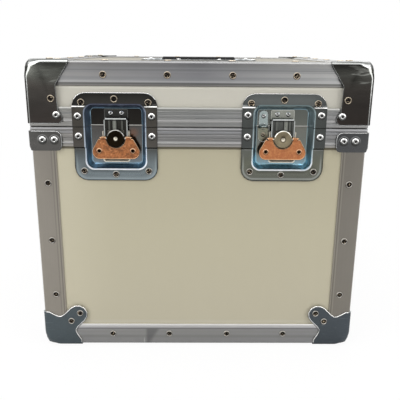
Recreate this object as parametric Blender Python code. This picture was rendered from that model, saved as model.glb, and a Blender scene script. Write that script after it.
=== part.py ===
"""A flight case about 423 mm wide, 423 mm deep and 382 mm high, standing on its bottom corners.

Cream laminated panels are held by aluminium edging and by a closure rail whose tongue seats in the
groove of the lid's rail. Pressed steel corners, two recessed turn latches, two lid-stay hinges and a
recessed bail handle are riveted on. The origin is the middle of the footprint, +X is to the right, the
front faces -Y and +Z is up. Every length is in metres.
"""

import math

import bmesh
import bpy
from mathutils import Vector

# The case and the gaps that its pieces keep
case_width = 0.423
case_depth = 0.423
base_height = 0.302
lid_height = 0.0805
seam_gap = 0.0006
fit_gap = 0.0003
cut_overrun = 0.002
weld_distance = 0.000001

# Laminated panels
panel_thickness = 0.009
panel_corner_cut = 0.008

# Pressed steel corners and caps
corner_wall = 0.0012
corner_vertex_radius = 0.0095
corner_edge_radius = 0.0043
corner_leg = 0.0503
cap_reach = 0.0535
cap_drop = 0.0765
vertex_relief = 0.020

# Aluminium angle edging
edging_setback = 0.0013
edging_wall = 0.0018
edging_leg = 0.0297
edging_radius = 0.0028
edging_lip = 0.005
edging_lip_wall = 0.0008

# Closure rails
rail_leg = 0.0243
rail_ridge_height = 0.0005
rail_ridge_width = 0.0024
rail_groove_depth = 0.0005
rail_groove_width = 0.0012
rail_edge_break = 0.0005
rail_web = 0.0015
rail_inner_wall = 0.0012
rail_inner_leg = 0.0125
rail_bend = 0.0026
tongue_height = 0.0045
tongue_root_half = 0.0024
tongue_tip_half = 0.0011
tongue_side_clearance = 0.0010
tongue_tip_clearance = 0.0008

# Braces that clasp the base rail's corners
brace_reach = 0.041
brace_height = 0.0246
brace_drop = 0.0054
brace_round = 0.007

# Latch dishes
dish_side_gap = 0.0121
dish_wall = 0.0012
dish_half_width = 0.052
dish_top = 0.0415
dish_bottom = 0.068
dish_radius = 0.016
rim_half_width = 0.0388
rim_top = 0.0285
rim_bottom = 0.0548
rim_radius = 0.0115
rim_fillet = 0.0025
dish_depth = 0.0158
dish_draft = 0.0027
dish_foot = 0.0013
dish_step_run = 0.0026
dish_step_clearance = 0.0005
dish_hole_clearance = 0.0013
notch_corner_cut = 0.006

# Latch spindle, cam and knob
spindle_drop = 0.0146
shaft_radius = 0.004
shaft_collar_radius = 0.0056
shaft_collar = 0.0012
cam_low_radius = 0.0048
cam_bottom = 0.0045
cam_top = 0.0093
knob_radius = 0.0111
knob_bottom = 0.0096
knob_shoulder = 0.0132
knob_top = 0.0139
knob_bevel = 0.0010
knob_rivet_radius = 0.0024
knob_rivet_height = 0.0007

# Draw link, its slanted stroke and its hook
link_stroke_down = 0.0043
link_stroke_in = 0.0029
link_plate = 0.0015
link_under = 0.0076
link_half_width = 0.0146
link_corner_cut = 0.0026
link_foot = 0.0035
window_half_width = 0.0102
window_nib = 0.0010
hook_height = 0.0102
hook_half_width = 0.0132
hook_reach = 0.0027
hook_round = 0.0008
link_rib_half_width = 0.0008
link_rib_offset = 0.0036
link_rib_height = 0.0005
link_rib_length = 0.0085

# Keeper riveted in the upper dish
keeper_half_width = 0.0148
keeper_top = 0.0210
keeper_lip = 0.0042
keeper_lip_reach = 0.0044
keeper_wall = 0.0012
keeper_corner_cut = 0.0012

# Butterfly wing and its pin
wing_axis_out = 0.0118
wing_plate = 0.0015
wing_cutout_radius = 0.0123
wing_knuckle_radius = 0.0019
wing_knuckle_end = 0.0185
wing_shoulder = 0.0217
wing_shoulder_round = 0.0042
wing_lobe_x = 0.0207
wing_lobe_z = 0.0171
wing_lobe_radius = 0.0086
wing_hole_x = 0.0209
wing_hole_z = 0.0158
wing_hole_radius = 0.0026
wing_pin_radius = 0.0011
wing_pin_clearance = 0.00015

# Frame that holds the spindle
frame_half_width = 0.0168
frame_above = 0.0085
frame_below = 0.0302
frame_wall = 0.0012
frame_side_height = 0.0083
frame_corner_cut = 0.0018

# Padlock lugs beside the right keeper
lug_offset = 0.0240
lug_upper_half_width = 0.0057
lug_lower_half_width = 0.0065
lug_rise = 0.0203
lug_fall = 0.0196
lug_reach = 0.0089
lug_wall = 0.0012
lug_hole_radius = 0.0024
lug_seam_clearance = 0.0006

# Lid-stay hinges
hinge_half_width = 0.025
hinge_leaf = 0.0018
hinge_leaf_height = 0.0236
hinge_axis_out = 0.012
hinge_boss_radius = 0.0045
hinge_pin_radius = 0.0025
hinge_pin_clearance = 0.00015
hinge_head_radius = 0.0038
hinge_head = 0.0012
hinge_arm_wall = 0.0015
hinge_arm_face = 0.0114
hinge_side_gap = 0.0003
hinge_tail = 0.01155
hinge_tail_half = 0.004
hinge_tail_cut = 0.0023
hinge_leaf_round = 0.004

# Recessed bail handle in the lid
handle_half_length = 0.086
handle_half_depth = 0.060
handle_corner = 0.016
handle_flange = 0.010
handle_depth = 0.019
handle_draft = 0.003
handle_fillet = 0.002
handle_wall = 0.0012
handle_hole_clearance = 0.0028
bail_rod_radius = 0.0035
bail_arm_side_gap = 0.012
bail_end_past_flange = 0.0008
bail_bend = 0.005
bail_axis_back = 0.030
bail_axis_drop = 0.0104
bail_hole_clearance = 0.0004
grip_forward = 0.010
grip_end_gap = 0.0025
grip_radius = 0.011
grip_stand = 0.0015
grip_round = 0.002
grip_bore_clearance = 0.0003

# Counts of facets
corner_steps = 3
bend_steps = 2
dish_steps = 4
lobe_steps = 6
round_steps = 20
small_round_steps = 12
cam_steps = 20

# Places that follow from the sizes above
half_width = case_width / 2
half_depth = case_depth / 2
case_height = base_height + lid_height
half_seam = seam_gap / 2
edging_rise = corner_wall + fit_gap
edging_inset = edging_rise + edging_setback
panel_rise = edging_rise + edging_wall + fit_gap
panel_inset = panel_rise + edging_setback
panel_inner = panel_inset + panel_thickness
rail_inset = corner_wall + fit_gap + rail_ridge_height
rail_slot_outer = panel_inset - fit_gap
rail_slot_inner = panel_inner + fit_gap
rail_inner = rail_slot_inner + rail_inner_wall
groove_top = tongue_height + tongue_tip_clearance + rail_web
hinge_face_out = hinge_leaf - corner_wall
hinge_reach = hinge_face_out + hinge_axis_out + hinge_boss_radius
centre_y = -hinge_reach / 2
front_y = centre_y - half_depth
back_y = centre_y + half_depth
flange_low = panel_inset - fit_gap - dish_wall
dish_floor_y = front_y + dish_depth
dish_cut_half = rim_half_width + dish_hole_clearance
spindle_z = base_height - spindle_drop
hinge_axis_y = back_y + hinge_face_out + hinge_axis_out
handle_top_z = case_height - panel_rise + fit_gap + handle_wall
bail_arm_x = handle_half_length - handle_flange - bail_arm_side_gap
bail_end_x = handle_half_length - handle_flange + bail_end_past_flange
bail_axis_y = centre_y + bail_axis_back
bail_axis_z = handle_top_z - bail_axis_drop
grip_half_length = bail_arm_x - bail_bend - grip_end_gap
grip_y = centre_y - grip_forward
grip_z = case_height + grip_stand - grip_radius

# Outlines as shares of the leg or reach of the pressing that they bound
ear_shares = ((0.995, 0.165), (0.911, 0.306), (0.865, 0.400), (0.865, 0.470), (0.920, 0.556))
ear_lobe_share = 0.928
ear_lobe_radius_share = 0.257
ear_lobe_turn = (-45, 135)
cap_wall_shares = (
    (0.712, 0.372), (0.693, 0.404), (0.721, 0.795), (0.776, 0.845), (0.807, 0.900), (0.797, 0.958), (0.740, 1.0)
)
cap_widest_share = 0.807
cap_top_shares = ((0.748, 0.453), (0.650, 0.650), (0.453, 0.748))

# The dishes stand beside the caps' widest part, with the hinges behind them
latch_x = half_width - cap_reach * cap_widest_share - dish_side_gap - dish_half_width
hinge_x = latch_x

quarter = math.pi / 2
smooth_angle = math.radians(35)
corner_signs = ((1, -1), (1, 1), (-1, 1), (-1, -1))
side_names = {(1, -1): "front_right", (1, 1): "back_right", (-1, 1): "back_left", (-1, -1): "front_left"}


def linear(red, green, blue):
    """A colour seen in the photograph, 0 to 255, as the linear values of a shader."""
    return [((c / 255 + 0.055) / 1.055) ** 2.4 for c in (red, green, blue)] + [1]


# Colour, roughness and metallic value of each finish
finishes = {
    "laminate": (linear(198, 192, 168), 0.45, 0),
    "aluminium": (linear(168, 168, 170), 0.38, 1),
    "dull_steel": (linear(108, 118, 126), 0.42, 1),
    "bright_steel": (linear(150, 152, 150), 0.18, 1),
    "zinc": (linear(158, 172, 184), 0.22, 1),
    "copper": (linear(214, 132, 88), 0.42, 0.6),
    "rubber": (linear(28, 28, 28), 0.7, 0),
}
shades = {}


def shade(finish):
    if finish not in shades:
        colour, roughness, metallic = finishes[finish]
        made = bpy.data.materials.new(finish)
        made.use_nodes = True
        surface = made.node_tree.nodes["Principled BSDF"]
        surface.inputs["Base Color"].default_value = colour
        surface.inputs["Roughness"].default_value = roughness
        surface.inputs["Metallic"].default_value = metallic
        made.diffuse_color = colour
        shades[finish] = made
    return shades[finish]


def place_of(carrier):
    """Where an empty stands in the case's frame."""
    place = Vector()
    while carrier:
        place += carrier.location
        carrier = carrier.parent
    return place


def put(obj, place, carrier=None):
    obj.parent = carrier
    obj.location = Vector(place) - place_of(carrier)
    bpy.context.scene.collection.objects.link(obj)
    return obj


def axis_empty(name, place, carrier=None):
    """An empty on a joint's axis, which carries the pieces that move with the joint."""
    return put(bpy.data.objects.new(name, None), place, carrier)


def piece(name, bm, finish, place=(0, 0, 0), carrier=None):
    bmesh.ops.recalc_face_normals(bm, faces=bm.faces)
    mesh = bpy.data.meshes.new(name)
    bm.to_mesh(mesh)
    bm.free()
    mesh.shade_smooth()
    mesh.set_sharp_from_angle(angle=smooth_angle)
    mesh.materials.append(shade(finish))
    return put(bpy.data.objects.new(name, mesh), place, carrier)


def combine(obj, bm, operation):
    """Cut a helper shape out of a piece, or join it on, in the piece's own frame."""
    bmesh.ops.recalc_face_normals(bm, faces=bm.faces)
    mesh = bpy.data.meshes.new(obj.name + "_" + operation.lower())
    bm.to_mesh(mesh)
    bm.free()
    helper = bpy.data.objects.new(mesh.name, mesh)
    helper.hide_render = True
    helper.display_type = "WIRE"
    put(helper, place_of(obj), obj.parent)
    change = obj.modifiers.new(mesh.name, "BOOLEAN")
    change.operation = operation
    change.object = helper
    return obj


def arc(centre_p, centre_q, radius, start, end, steps):
    """Points on an arc, with its angles in degrees."""
    angles = [math.radians(start + (end - start) * i / steps) for i in range(steps + 1)]
    return [(centre_p + radius * math.cos(a), centre_q + radius * math.sin(a)) for a in angles]


def prism(outline, axis, low, high, bm=None):
    """An outline extruded along X, Y or Z, alone or beside what the mesh already holds."""
    bm = bm or bmesh.new()
    ends = []
    for level in (low, high):
        places = {
            "X": [(level, p, q) for p, q in outline],
            "Y": [(p, level, q) for p, q in outline],
            "Z": [(p, q, level) for p, q in outline],
        }[axis]
        ends.append([bm.verts.new(place) for place in places])
    for end in ends:
        bm.faces.new(end)
    for i in range(len(outline)):
        bm.faces.new((ends[0][i - 1], ends[0][i], ends[1][i], ends[1][i - 1]))
    return bm


def block(low, high, bm=None):
    outline = [(low[0], low[1]), (high[0], low[1]), (high[0], high[1]), (low[0], high[1])]
    return prism(outline, "Z", low[2], high[2], bm)


def lathe(profile, axis, steps, bm=None, closed=False, centre=(0, 0)):
    """A profile of (radius, level) points turned about X or about the outward axis -Y."""
    bm = bm or bmesh.new()
    rows = []
    for radius, level in profile:
        row = []
        for p, q in arc(*centre, radius, 0, 360, steps)[:-1]:
            row.append(bm.verts.new((level, p, q) if axis == "X" else (p, -level, q)))
        rows.append(row)
    pairs = list(zip(rows, rows[1:] + rows[:1]))
    for row, following in pairs if closed else pairs[:-1]:
        for i in range(steps):
            bm.faces.new((row[i - 1], row[i], following[i], following[i - 1]))
    bmesh.ops.remove_doubles(bm, verts=bm.verts, dist=weld_distance)
    return bm


def rod(radius, axis, low, high, steps, bm=None, centre=(0, 0)):
    return lathe([(0, low), (radius, low), (radius, high), (0, high)], axis, steps, bm, False, centre)


def mirrored(outline):
    """An outline's right half, listed from bottom to top, followed by its left half."""
    return outline + [(-p, q) for p, q in reversed(outline)]


# Sheets that bend round the case's corners


def round_corner(index, inset, bend, sharp):
    """Points round one upright corner of the case, at an inset from its outermost sides."""
    side_x, side_y = corner_signs[index]
    if inset >= sharp - weld_distance:
        return [(side_x * (half_width - inset), centre_y + side_y * (half_depth - inset))] * (bend_steps + 1)
    start = 90 * (index - 1)
    centre = (side_x * (half_width - bend), centre_y + side_y * (half_depth - bend))
    return arc(*centre, bend - inset, start, start + 90, bend_steps)


def sweep_round(profile, bend, sharp, opening=None):
    """A profile of (inset, z) points carried round the case, with a mouth in front where one is given.

    Points less than the sharp inset from the outermost sides turn each corner on an arc.
    """
    bm = bmesh.new()
    rows = []
    for inset, z in profile:
        path = []
        for index in range(len(corner_signs)):
            path += round_corner(index, inset, bend, sharp)
        if opening:
            path = [(opening, front_y + inset)] + path + [(-opening, front_y + inset)]
        rows.append([bm.verts.new((x, y, z)) for x, y in path])
    stations = len(rows[0])
    for row, following in zip(rows, rows[1:] + rows[:1]):
        for i in range(stations - 1 if opening else stations):
            j = (i + 1) % stations
            bm.faces.new((row[i], row[j], following[j], following[i]))
    if opening:
        for end in (0, -1):
            bm.faces.new([row[end] for row in rows])
    bmesh.ops.remove_doubles(bm, verts=bm.verts, dist=weld_distance)
    return bm


def edging_outline():
    """The angle's section from its own outer faces: two legs with sloped lips and a rounded nose."""
    lip_face = edging_wall - edging_lip_wall
    top_leg = [
        (edging_wall, edging_wall), (edging_leg, edging_wall), (edging_leg, lip_face),
        (edging_leg - edging_lip, 0)
    ]
    side_leg = [(q, p) for p, q in reversed(top_leg[1:])]
    return top_leg + arc(edging_radius, edging_radius, edging_radius, 270, 180, corner_steps) + side_leg


def edging_ring(name, sign, level, carrier):
    """The angle round the bottom or the top, relieved at its four vertices for the pressed corners."""
    profile = [(edging_inset + p, level - sign * (edging_rise + q)) for p, q in edging_outline()]
    bend = edging_inset + edging_radius
    ring = piece(name, sweep_round(profile, bend, bend), "aluminium", carrier=carrier)
    relief = bmesh.new()
    cleared = edging_setback + vertex_relief
    for side_x, side_y in corner_signs:
        xs = sorted((side_x * (half_width - cleared), side_x * (half_width + cut_overrun)))
        ys = sorted((side_y * (half_depth - cleared), side_y * (half_depth + cut_overrun)))
        zs = sorted((level - sign * vertex_relief, level + sign * cut_overrun))
        block((xs[0], centre_y + ys[0], zs[0]), (xs[1], centre_y + ys[1], zs[1]), relief)
    return combine(ring, relief, "DIFFERENCE")


def upright_edging(signs):
    side_x, side_y = signs
    outline = [
        (side_x * (half_width - edging_inset - p), centre_y + side_y * (half_depth - edging_inset - q))
        for p, q in edging_outline()
    ]
    low = edging_rise + edging_leg + fit_gap
    high = base_height - rail_leg - fit_gap
    piece("base_edge_" + side_names[signs], prism(outline, "Z", low, high), "aluminium")


# Closure rails

rail_middle = panel_inset + panel_thickness / 2
rail_groove_shares = (0.20, 0.38, 0.56)
rail_ridge_share = 0.78


def rail_face(sign):
    """The ribbed outer face from the seam to the leg's end; sign is 1 up the lid and -1 down the base."""
    points = [(rail_inset + rail_edge_break, half_seam), (rail_inset, half_seam + rail_edge_break)]
    for share in rail_groove_shares:
        middle = rail_leg * share
        points += [
            (rail_inset, middle - rail_groove_width / 2),
            (rail_inset + rail_groove_depth, middle),
            (rail_inset, middle + rail_groove_width / 2),
        ]
    middle = rail_leg * rail_ridge_share
    ridge = rail_inset - rail_ridge_height
    points += [
        (rail_inset, middle - rail_ridge_width / 2),
        (ridge, middle - rail_ridge_width / 4),
        (ridge, middle + rail_ridge_width / 4),
        (rail_inset, middle + rail_ridge_width / 2),
        (rail_inset, rail_leg),
    ]
    if sign > 0:
        # The lid's face is the same strip turned over, so its ridge lies next to the seam.
        flipped = [(p, half_seam + rail_leg - q) for p, q in reversed(points[2:-1])]
        points = points[:2] + flipped + [points[-1]]
    return [(p, base_height + sign * q) for p, q in points]


def base_rail_profile():
    """The base rail: a slot for the panel below and a tapered tongue above."""
    top = base_height - half_seam
    return rail_face(-1) + [
        (rail_slot_outer, base_height - rail_leg),
        (rail_slot_outer, top - rail_web),
        (rail_slot_inner, top - rail_web),
        (rail_slot_inner, base_height - rail_inner_leg),
        (rail_inner, base_height - rail_inner_leg),
        (rail_inner, top),
        (rail_middle + tongue_root_half, top),
        (rail_middle + tongue_tip_half, base_height + tongue_height),
        (rail_middle - tongue_tip_half, base_height + tongue_height),
        (rail_middle - tongue_root_half, top),
    ]


def lid_rail_profile():
    """The lid rail: a slot for the panel above and a groove below that clears the tongue as it swings."""
    low = base_height + half_seam
    mouth = tongue_root_half + tongue_side_clearance
    floor = tongue_tip_half + tongue_side_clearance
    groove_z = base_height + tongue_height + tongue_tip_clearance
    web_z = base_height + groove_top
    return rail_face(1) + [
        (rail_slot_outer, base_height + rail_leg),
        (rail_slot_outer, web_z),
        (rail_slot_inner, web_z),
        (rail_slot_inner, base_height + rail_inner_leg),
        (rail_inner, base_height + rail_inner_leg),
        (rail_inner, low),
        (rail_middle + mouth, low),
        (rail_middle + floor, groove_z),
        (rail_middle - floor, groove_z),
        (rail_middle - mouth, low),
    ]


def closure_rail(name, profile, carrier=None):
    """The long rail round the back and sides, and the short one between the two latch dishes."""
    mouth = latch_x + dish_cut_half
    long_rail = sweep_round(profile, rail_inset + rail_bend, rail_slot_outer, mouth)
    piece(name, long_rail, "aluminium", carrier=carrier)
    between = latch_x - dish_cut_half
    outline = [(front_y + inset, z) for inset, z in profile]
    piece(name + "_middle", prism(outline, "X", -between, between), "aluminium", carrier=carrier)


# Laminated panels


def notch(side, level, depth):
    """A dish's cut-out in a front panel's edge, from left to right, with its corners cut."""
    left, right = side * latch_x - dish_cut_half, side * latch_x + dish_cut_half
    cut = math.copysign(notch_corner_cut, depth - level)
    return [
        (left, level), (left, depth - cut), (left + notch_corner_cut, depth),
        (right - notch_corner_cut, depth), (right, depth - cut), (right, level),
    ]


def wall_outline(seam_z, outer_z, notches=()):
    """A front or back panel's outline, its corners next to the case's vertices cut off."""
    reach = half_width - panel_inset
    cut = math.copysign(panel_corner_cut, seam_z - outer_z)
    return [(-reach, seam_z), *notches, (reach, seam_z), (reach, outer_z + cut),
            (reach - panel_corner_cut, outer_z), (panel_corner_cut - reach, outer_z), (-reach, outer_z + cut)]


def panel_set(half, seam_z, outer_z, notch_depth, carrier=None):
    """The four walls of the base or the lid, and the panel that closes it."""
    notches = notch(-1, seam_z, notch_depth) + notch(1, seam_z, notch_depth)
    front = prism(
        wall_outline(seam_z, outer_z, notches), "Y", front_y + panel_inset, front_y + panel_inner
    )
    piece(half + "_front_panel", front, "laminate", carrier=carrier)
    back = prism(wall_outline(seam_z, outer_z), "Y", back_y - panel_inner, back_y - panel_inset)
    piece(half + "_back_panel", back, "laminate", carrier=carrier)
    low_z, high_z = sorted((seam_z, outer_z))
    between = half_depth - panel_inner - fit_gap
    for side, word in ((-1, "_left_panel"), (1, "_right_panel")):
        xs = sorted((side * (half_width - panel_inset), side * (half_width - panel_inner)))
        wall = block((xs[0], centre_y - between, low_z), (xs[1], centre_y + between, high_z))
        piece(half + word, wall, "laminate", carrier=carrier)
    across = half_width - panel_inner - fit_gap
    inner_z = outer_z + math.copysign(panel_thickness, seam_z - outer_z)
    low_z, high_z = sorted((outer_z, inner_z))
    closing = block((-across, centre_y - between, low_z), (across, centre_y + between, high_z))
    word = "_floor_panel" if half == "base" else "_top_panel"
    return piece(half + word, closing, "laminate", carrier=carrier)


# Pressed steel corners


class Sheet:
    """A pressed sheet: outer points, the way into the metal at each of them, and faces between them."""

    def __init__(self):
        self.points, self.inward, self.faces, self.known = [], [], [], {}

    def point(self, place, inward):
        key = tuple(round(c / weld_distance) for c in place)
        if key not in self.known:
            self.known[key] = len(self.points)
            self.points.append(Vector(place))
            self.inward.append(Vector(inward).normalized())
        return self.known[key]

    def shell(self, wall, vertex, signs):
        """The sheet with its wall behind it, turned to one vertex of the case."""
        bm = bmesh.new()
        sides = []
        for depth in (0, wall):
            inner = [p + depth * n for p, n in zip(self.points, self.inward)]
            sides.append([bm.verts.new([v - s * c for v, s, c in zip(vertex, signs, p)]) for p in inner])
        outer, inner = sides
        used = {}
        for face in self.faces:
            bm.faces.new([outer[i] for i in face])
            bm.faces.new([inner[i] for i in reversed(face)])
            for i, j in zip(face, face[1:] + face[:1]):
                used.setdefault(frozenset((i, j)), []).append((i, j))
        for i, j in (edges[0] for edges in used.values() if len(edges) == 1):
            bm.faces.new((outer[j], outer[i], inner[i], inner[j]))
        return bm


def bend_radius(s):
    """The radius of a corner's edge at a distance from the vertex: wide at the vertex, then even."""
    fade = min(1, (s - corner_vertex_radius) / (vertex_relief - corner_vertex_radius))
    ease = fade * fade * (3 - 2 * fade)
    return corner_vertex_radius + (corner_edge_radius - corner_vertex_radius) * ease


def bend_stations(reach):
    run = vertex_relief - corner_vertex_radius
    return [corner_vertex_radius + run * i / corner_steps for i in range(corner_steps + 1)] + [reach]


def pressed_corner(reaches, outlines):
    """Three flat faces that meet in rounded edges and a ball at the vertex.

    Axis 0, 1 and 2 run from the vertex along the case's three edges there. Face f lies where axis f is
    zero, and its outline runs from the end of the edge on the next axis to the end of the one after.
    """
    sheet = Sheet()

    def local(**parts):
        place = [0, 0, 0]
        for axis, value in parts.items():
            place[int(axis[1:])] = value
        return place

    for axis in range(3):
        after, last = (axis + 1) % 3, (axis + 2) % 3
        rows = []
        for s in bend_stations(reaches[axis]):
            radius = bend_radius(s)
            row = []
            for step in range(corner_steps + 1):
                turn = quarter * step / corner_steps
                inward = local(**{f"a{after}": math.cos(turn), f"a{last}": math.sin(turn)})
                place = local(**{f"a{axis}": s, f"a{after}": radius, f"a{last}": radius})
                row.append(sheet.point([p - radius * n for p, n in zip(place, inward)], inward))
            rows.append(row)
        for row, following in zip(rows, rows[1:]):
            for i in range(corner_steps):
                sheet.faces.append([row[i], following[i], following[i + 1], row[i + 1]])

        face, p_axis, q_axis = axis, after, last
        inward = local(**{f"a{face}": 1})
        outline = [(s, bend_radius(s)) for s in bend_stations(reaches[p_axis])]
        outline += outlines[face]
        outline += [(bend_radius(s), s) for s in reversed(bend_stations(reaches[q_axis])[1:])]
        sheet.faces.append(
            [sheet.point(local(**{f"a{p_axis}": p, f"a{q_axis}": q}), inward) for p, q in outline]
        )

    ball = []
    for m in range(corner_steps + 1):
        fall = quarter * m / corner_steps
        row = []
        for t in range(m + 1):
            turn = quarter * t / max(m, 1)
            inward = (math.cos(fall), math.sin(fall) * math.cos(turn), math.sin(fall) * math.sin(turn))
            place = [corner_vertex_radius * (1 - n) for n in inward]
            row.append(sheet.point(place, inward))
        ball.append(row)
    for row, following in zip(ball, ball[1:]):
        for t in range(len(row)):
            sheet.faces.append([row[t], following[t], following[t + 1]])
            if t:
                sheet.faces.append([row[t - 1], following[t], row[t]])
    return sheet


def ear_outline():
    """The eared edge of a bottom corner's face, the same on both sides of its diagonal."""
    near = [(p * corner_leg, q * corner_leg) for p, q in ear_shares]
    centre = ear_lobe_share * corner_leg
    lobe = arc(centre, centre, ear_lobe_radius_share * corner_leg, *ear_lobe_turn, lobe_steps)
    return near + lobe + [(q, p) for p, q in reversed(near)]


def bottom_corners():
    ear = ear_outline()
    pressed = pressed_corner((corner_leg,) * 3, (ear,) * 3)
    reach_x, reach_y = half_width - edging_setback, half_depth - edging_setback
    for signs in corner_signs:
        vertex = (signs[0] * reach_x, centre_y + signs[1] * reach_y, 0)
        shell = pressed.shell(corner_wall, vertex, (*signs, -1))
        piece("bottom_corner_" + side_names[signs], shell, "dull_steel")


def lid_caps(carrier):
    """Caps as tall as the lid, whose legs come down over the ends of its rail."""
    wall = [(p * cap_reach, q * cap_drop) for p, q in cap_wall_shares]
    top = [(p * cap_reach, q * cap_reach) for p, q in cap_top_shares]
    outlines = (wall, [(q, p) for p, q in reversed(wall)], top)
    pressed = pressed_corner((cap_reach, cap_reach, cap_drop), outlines)
    for signs in corner_signs:
        vertex = (signs[0] * half_width, centre_y + signs[1] * half_depth, case_height)
        shell = pressed.shell(corner_wall, vertex, (*signs, 1))
        piece("lid_cap_" + side_names[signs], shell, "bright_steel", carrier=carrier)


def closure_braces():
    """Angle plates that clasp the base rail's corners, their lower edge drawn in on the upright edging."""
    high = base_height - brace_drop
    low = high - brace_height
    tuck = base_height - rail_leg - fit_gap
    outer = arc(corner_edge_radius, corner_edge_radius, corner_edge_radius, 270, 180, corner_steps)
    inner = arc(
        corner_edge_radius, corner_edge_radius, corner_edge_radius - corner_wall, 180, 270, corner_steps
    )
    section = [(brace_reach, 0)] + outer + [(0, brace_reach), (corner_wall, brace_reach)]
    section += inner + [(brace_reach, corner_wall)]
    for side_x, side_y in corner_signs:
        outline = [
            (side_x * (half_width - p), centre_y + side_y * (half_depth - q)) for p, q in section
        ]
        bm = prism(outline, "Z", low, high)
        ends = [edge for edge in bm.edges if abs(edge.calc_length() - corner_wall) < weld_distance]
        bmesh.ops.bevel(bm, geom=ends, offset=brace_round, segments=corner_steps, affect="EDGES", profile=0.5)
        bmesh.ops.bisect_plane(
            bm, geom=bm.verts[:] + bm.edges[:] + bm.faces[:], plane_co=(0, 0, tuck), plane_no=(0, 0, 1)
        )
        for v in bm.verts:
            drawn = edging_setback * max(0, (tuck - v.co.z) / (tuck - low))
            v.co.x -= side_x * drawn
            v.co.y -= side_y * drawn
        piece("closure_brace_" + side_names[(side_x, side_y)], bm, "bright_steel")


# Latch dishes

step_low, step_high = -rail_leg - dish_step_clearance, rail_leg + dish_step_clearance
rim_turn_z = rim_top - rim_radius
dish_keys = (step_low - dish_step_run, step_low, rim_turn_z, (rim_turn_z + step_high) / 2, step_high,
             step_high + dish_step_run)


def dish_loop(half, top, bottom, radius, arc_radius):
    """One closed line round a dish, as (x, z, on the rails) points, z counted from the seam.

    All keys of a side but the first and the last lie over the rails, where the flange stands higher.
    """
    right = [(x, z, False) for x, z in arc(half - radius, radius - bottom, radius, -90, 0, dish_steps)]
    centre_z = top - radius
    turn = 0
    for index, key in enumerate(dish_keys):
        turn = math.degrees(math.asin(max(0, key - centre_z) / arc_radius))
        x, z = arc(half - radius, centre_z, radius, turn, turn, 1)[0] if turn else (half, key)
        right.append((x, z, 0 < index < len(dish_keys) - 1))
    right += [(x, z, False) for x, z in arc(half - radius, centre_z, radius, turn, 90, dish_steps)[1:]]
    return right + [(-x, z, raised) for x, z, raised in reversed(right)]


def dish_sheet():
    """The whole dish as one sheet: stepped flange, rounded rim, drafted wall and floor."""
    rim_step = rim_fillet * (1 - math.sqrt(0.5))
    foot_step = dish_foot * (1 - math.sqrt(0.5))
    wall_foot = rim_fillet + dish_draft
    # Each pair is the inset from the rim and the fall below the flange, or the height above the floor.
    rim_rows = ((0, 0), (rim_fillet - rim_step, rim_step), (rim_fillet, rim_fillet))
    floor_rows = (
        (wall_foot, dish_foot),
        (wall_foot + foot_step, dish_foot * math.sqrt(0.5) - foot_step / 2),
        (wall_foot + dish_foot, 0),
    )
    bm = bmesh.new()
    rows = []
    flange = dish_loop(dish_half_width, dish_top, dish_bottom, dish_radius, rim_radius)
    rows.append([(x, front_y + (0 if raised else flange_low), z) for x, z, raised in flange])
    for inset, value in rim_rows:
        loop = dish_loop(rim_half_width - inset, rim_top - inset, rim_bottom - inset,
                         rim_radius - inset, rim_radius)
        rows.append([(x, front_y + value + (0 if raised else flange_low), z) for x, z, raised in loop])
    for inset, value in floor_rows:
        loop = dish_loop(rim_half_width - inset, rim_top - inset, rim_bottom - inset,
                         rim_radius - inset, rim_radius)
        rows.append([(x, dish_floor_y - value, z) for x, z, _ in loop])
    rows = [[bm.verts.new((x, y, z + base_height)) for x, y, z in row] for row in rows]
    for row, following in zip(rows, rows[1:]):
        for i in range(len(row)):
            bm.faces.new((row[i - 1], row[i], following[i], following[i - 1]))
    bm.faces.new(rows[-1])
    bmesh.ops.recalc_face_normals(bm, faces=bm.faces)
    return bm


def thicken(obj, wall):
    """Give a sheet its wall on the side away from its face."""
    change = obj.modifiers.new("wall", "SOLIDIFY")
    change.thickness = wall
    change.offset = -1
    change.use_even_offset = True
    return obj


def dish_half(name, x, sign, carrier=None):
    """The part of a dish above or below the seam."""
    bm = dish_sheet()
    bmesh.ops.bisect_plane(
        bm,
        geom=bm.verts[:] + bm.edges[:] + bm.faces[:],
        plane_co=(0, 0, base_height + sign * half_seam),
        plane_no=(0, 0, -sign),
        clear_outer=True,
    )
    outward = sum((f.normal.y * f.calc_area() for f in bm.faces))
    if outward > 0:
        bmesh.ops.reverse_faces(bm, faces=bm.faces)
    mesh = bpy.data.meshes.new(name)
    bm.to_mesh(mesh)
    bm.free()
    mesh.shade_smooth()
    mesh.set_sharp_from_angle(angle=smooth_angle)
    mesh.materials.append(shade("zinc"))
    return thicken(put(bpy.data.objects.new(name, mesh), (x, 0, 0), carrier), dish_wall)


# Latches: each piece's frame has its origin on the spindle's axis at the dish's floor, with -Y outward


def latch_frame(name, place):
    """The bracket on the dish's floor that the spindle turns in, with low walls round the link."""
    cut = frame_corner_cut
    outline = mirrored(
        [(frame_half_width - cut, -frame_below), (frame_half_width, cut - frame_below),
         (frame_half_width, frame_above)]
    )
    inner = frame_half_width - frame_wall
    inner_cut = cut * inner / frame_half_width
    hollow = mirrored(
        [(inner - inner_cut, frame_wall - frame_below), (inner, frame_wall + inner_cut - frame_below),
         (inner, frame_above + cut_overrun)]
    )
    frame = piece(name, prism(outline, "Y", -frame_side_height, -fit_gap), "bright_steel", place)
    inside = prism(hollow, "Y", -frame_side_height - cut_overrun, -fit_gap - frame_wall)
    combine(frame, inside, "DIFFERENCE")
    hole = rod(shaft_radius + fit_gap, "Y", -cut_overrun, frame_wall + cut_overrun, small_round_steps)
    return combine(frame, hole, "DIFFERENCE")


def cam_outline():
    """A heart cam: its radius grows evenly over half a turn and falls evenly over the other half."""
    outline = []
    for step in range(cam_steps):
        turn = 2 * math.pi * step / cam_steps
        rise = 1 - abs(turn / math.pi - 1)
        radius = cam_low_radius + link_stroke_down * rise
        outline.append((radius * math.sin(turn), -radius * math.cos(turn)))
    return outline


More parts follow.
